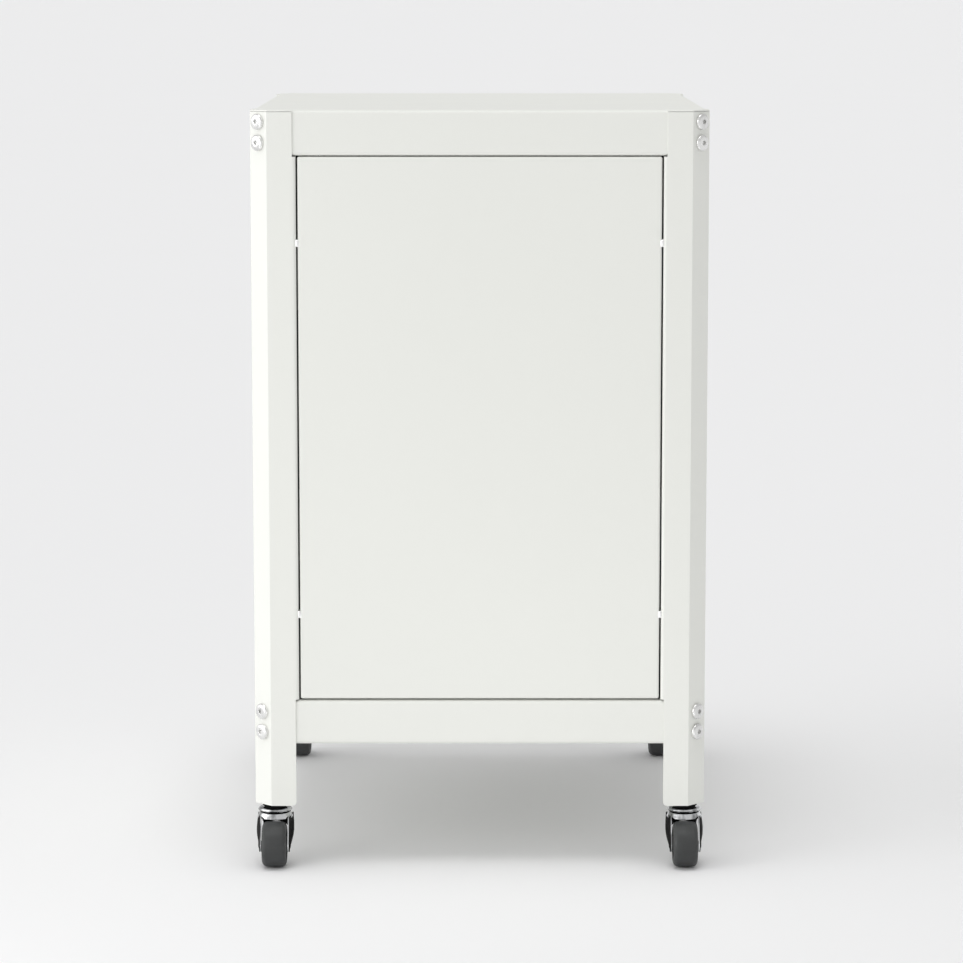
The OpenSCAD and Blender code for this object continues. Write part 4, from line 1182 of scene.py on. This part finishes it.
def light_world(studio):
    """Light from all round, paler at eye level, and one large soft lobe beside the cabinet.

    Brightness is ambient + haze * exp(-(rise / haze_rise) ** 2) + side * exp(side_focus * (lean - 1)),
    where rise and lean are the cosines to straight up and to the side light.
    """
    world = bpy.data.worlds.new("studio")
    world.use_nodes = True
    tree = world.node_tree
    way = tree.nodes.new("ShaderNodeTexCoord").outputs["Generated"]

    def calculate(operation, *values):
        """The operation on numbers or other nodes' outputs."""
        node = tree.nodes.new("ShaderNodeMath")
        node.operation = operation
        for socket, value in zip(node.inputs, values):
            if isinstance(value, (int, float)):
                socket.default_value = value
            else:
                tree.links.new(value, socket)
        return node.outputs[0]

    def leaning(direction):
        """Cosine between the way looked and a direction."""
        node = tree.nodes.new("ShaderNodeVectorMath")
        node.operation = "DOT_PRODUCT"
        tree.links.new(way, node.inputs[0])
        node.inputs[1].default_value = direction
        return node.outputs["Value"]

    rise, lean = leaning((0, 0, 1)), leaning(studio_direction(studio.side_turn, 0.0))
    low = calculate("MULTIPLY", calculate("MULTIPLY", rise, rise), -1 / studio.haze_rise**2)
    light = calculate("MULTIPLY_ADD", calculate("EXPONENT", low), studio.haze, studio.ambient)
    off_axis = calculate("MULTIPLY", calculate("SUBTRACT", lean, 1.0), studio.side_focus)
    light = calculate("MULTIPLY_ADD", calculate("EXPONENT", off_axis), studio.side, light)
    tree.links.new(light, tree.nodes["Background"].inputs["Color"])
    bpy.context.scene.world = world


def set_camera(studio):
    """Camera before the cabinet's back, aimed at a point of its face."""
    camera = bpy.data.cameras.new("camera")
    camera.sensor_width, camera.lens, camera.clip_end = 36.0, studio.lens, 200
    near = DEPTH / 2
    eye = np.array([0.0, near + studio.distance, studio.eye_height])
    aim = np.array([studio.aim[0], near, studio.aim[1]])
    bpy.context.scene.camera = placed("camera", camera, turned_to(eye - aim), eye)


def build_studio(settings):
    """Floor, lights, world and camera."""
    for build in (lay_floor, hang_lights, light_world, set_camera):
        build(settings.studio)
    bpy.context.scene.view_settings.view_transform = "Standard"


# ---------- the add-on ----------


class CabinetSettings(PropertyGroup):
    """All that a user may change."""

    sheet: PointerProperty(type=SheetSettings)
    hardware: PointerProperty(type=HardwareSettings)
    finish: PointerProperty(type=FinishSettings)
    studio: PointerProperty(type=StudioSettings)


class CABINET_OT_finishes(Operator):
    """Make the finishes and put them on the CAD nodes"""

    bl_idname = "cabinet.finishes"
    bl_label = "Finishes"

    def execute(self, context):
        build_finishes(context.scene.filing_cabinet)
        return {"FINISHED"}


class CABINET_OT_studio(Operator):
    """Set up floor, light and camera"""

    bl_idname = "cabinet.studio"
    bl_label = "Studio"

    def execute(self, context):
        build_studio(context.scene.filing_cabinet)
        return {"FINISHED"}


class CABINET_OT_carcass(Operator):
    """Fold the corner posts and the two trays"""

    bl_idname = "cabinet.carcass"
    bl_label = "Posts and trays"

    def execute(self, context):
        build_carcass(context.scene.filing_cabinet)
        return {"FINISHED"}


class CABINET_OT_panels(Operator):
    """Fold the back and side panels"""

    bl_idname = "cabinet.panels"
    bl_label = "Panels"

    def execute(self, context):
        build_panels(context.scene.filing_cabinet)
        return {"FINISHED"}


class CABINET_OT_clips(Operator):
    """Spring clips between panels and posts"""

    bl_idname = "cabinet.clips"
    bl_label = "Panel clips"

    def execute(self, context):
        build_clips(context.scene.filing_cabinet)
        return {"FINISHED"}


class CABINET_OT_frame_screws(Operator):
    """Button-head screws on the chamfers"""

    bl_idname = "cabinet.frame_screws"
    bl_label = "Frame screws"

    def execute(self, context):
        build_frame_screws(context.scene.filing_cabinet)
        return {"FINISHED"}


class CABINET_OT_pulls(Operator):
    """Press the recessed pulls"""

    bl_idname = "cabinet.pulls"
    bl_label = "Pulls"

    def execute(self, context):
        build_pulls(context.scene.filing_cabinet)
        return {"FINISHED"}


class CABINET_OT_drawers(Operator):
    """Drawer fronts, tubs and file bars"""

    bl_idname = "cabinet.drawers"
    bl_label = "Drawers"

    def execute(self, context):
        build_drawers(context.scene.filing_cabinet)
        return {"FINISHED"}


class CABINET_OT_slides(Operator):
    """Slides, rails and foot plates"""

    bl_idname = "cabinet.slides"
    bl_label = "Slides"

    def execute(self, context):
        build_slides(context.scene.filing_cabinet)
        return {"FINISHED"}


class CABINET_OT_lock(Operator):
    """Lock housing, core, cam and nut"""

    bl_idname = "cabinet.lock"
    bl_label = "Lock"

    def execute(self, context):
        build_lock(context.scene.filing_cabinet)
        return {"FINISHED"}


class CABINET_OT_castors(Operator):
    """Stems, forks, axles, hubs and tyres"""

    bl_idname = "cabinet.castors"
    bl_label = "Castors"

    def execute(self, context):
        build_castors(context.scene.filing_cabinet)
        return {"FINISHED"}


STEPS = [
    CABINET_OT_finishes, CABINET_OT_studio, CABINET_OT_carcass, CABINET_OT_panels,
    CABINET_OT_clips, CABINET_OT_frame_screws, CABINET_OT_pulls, CABINET_OT_drawers,
    CABINET_OT_slides, CABINET_OT_lock, CABINET_OT_castors,
]


class CABINET_PT_sidebar(Panel):
    """Lists the steps in their order."""

    bl_label = "Filing cabinet"
    bl_idname = "CABINET_PT_sidebar"
    bl_space_type = "VIEW_3D"
    bl_region_type = "UI"
    bl_category = "Filing cabinet"

    def draw(self, context):
        for operator in STEPS:
            self.layout.operator(operator.bl_idname)


CLASSES = [
    SheetSettings, HardwareSettings, FinishSettings, StudioSettings, CabinetSettings,
    CABINET_PT_sidebar, *STEPS,
]


def register():
    """Registers the classes and hangs the settings on the scene."""
    for item in CLASSES:
        bpy.utils.register_class(item)
    bpy.types.Scene.filing_cabinet = PointerProperty(type=CabinetSettings)


def unregister():
    """Undoes register, in the other order."""
    del bpy.types.Scene.filing_cabinet
    for item in reversed(CLASSES):
        bpy.utils.unregister_class(item)


def main():
    """Runs the steps in order."""
    register()
    for operator in STEPS:
        getattr(bpy.ops.cabinet, operator.bl_idname.split(".")[1])()


if __name__ == "__main__":
    main()
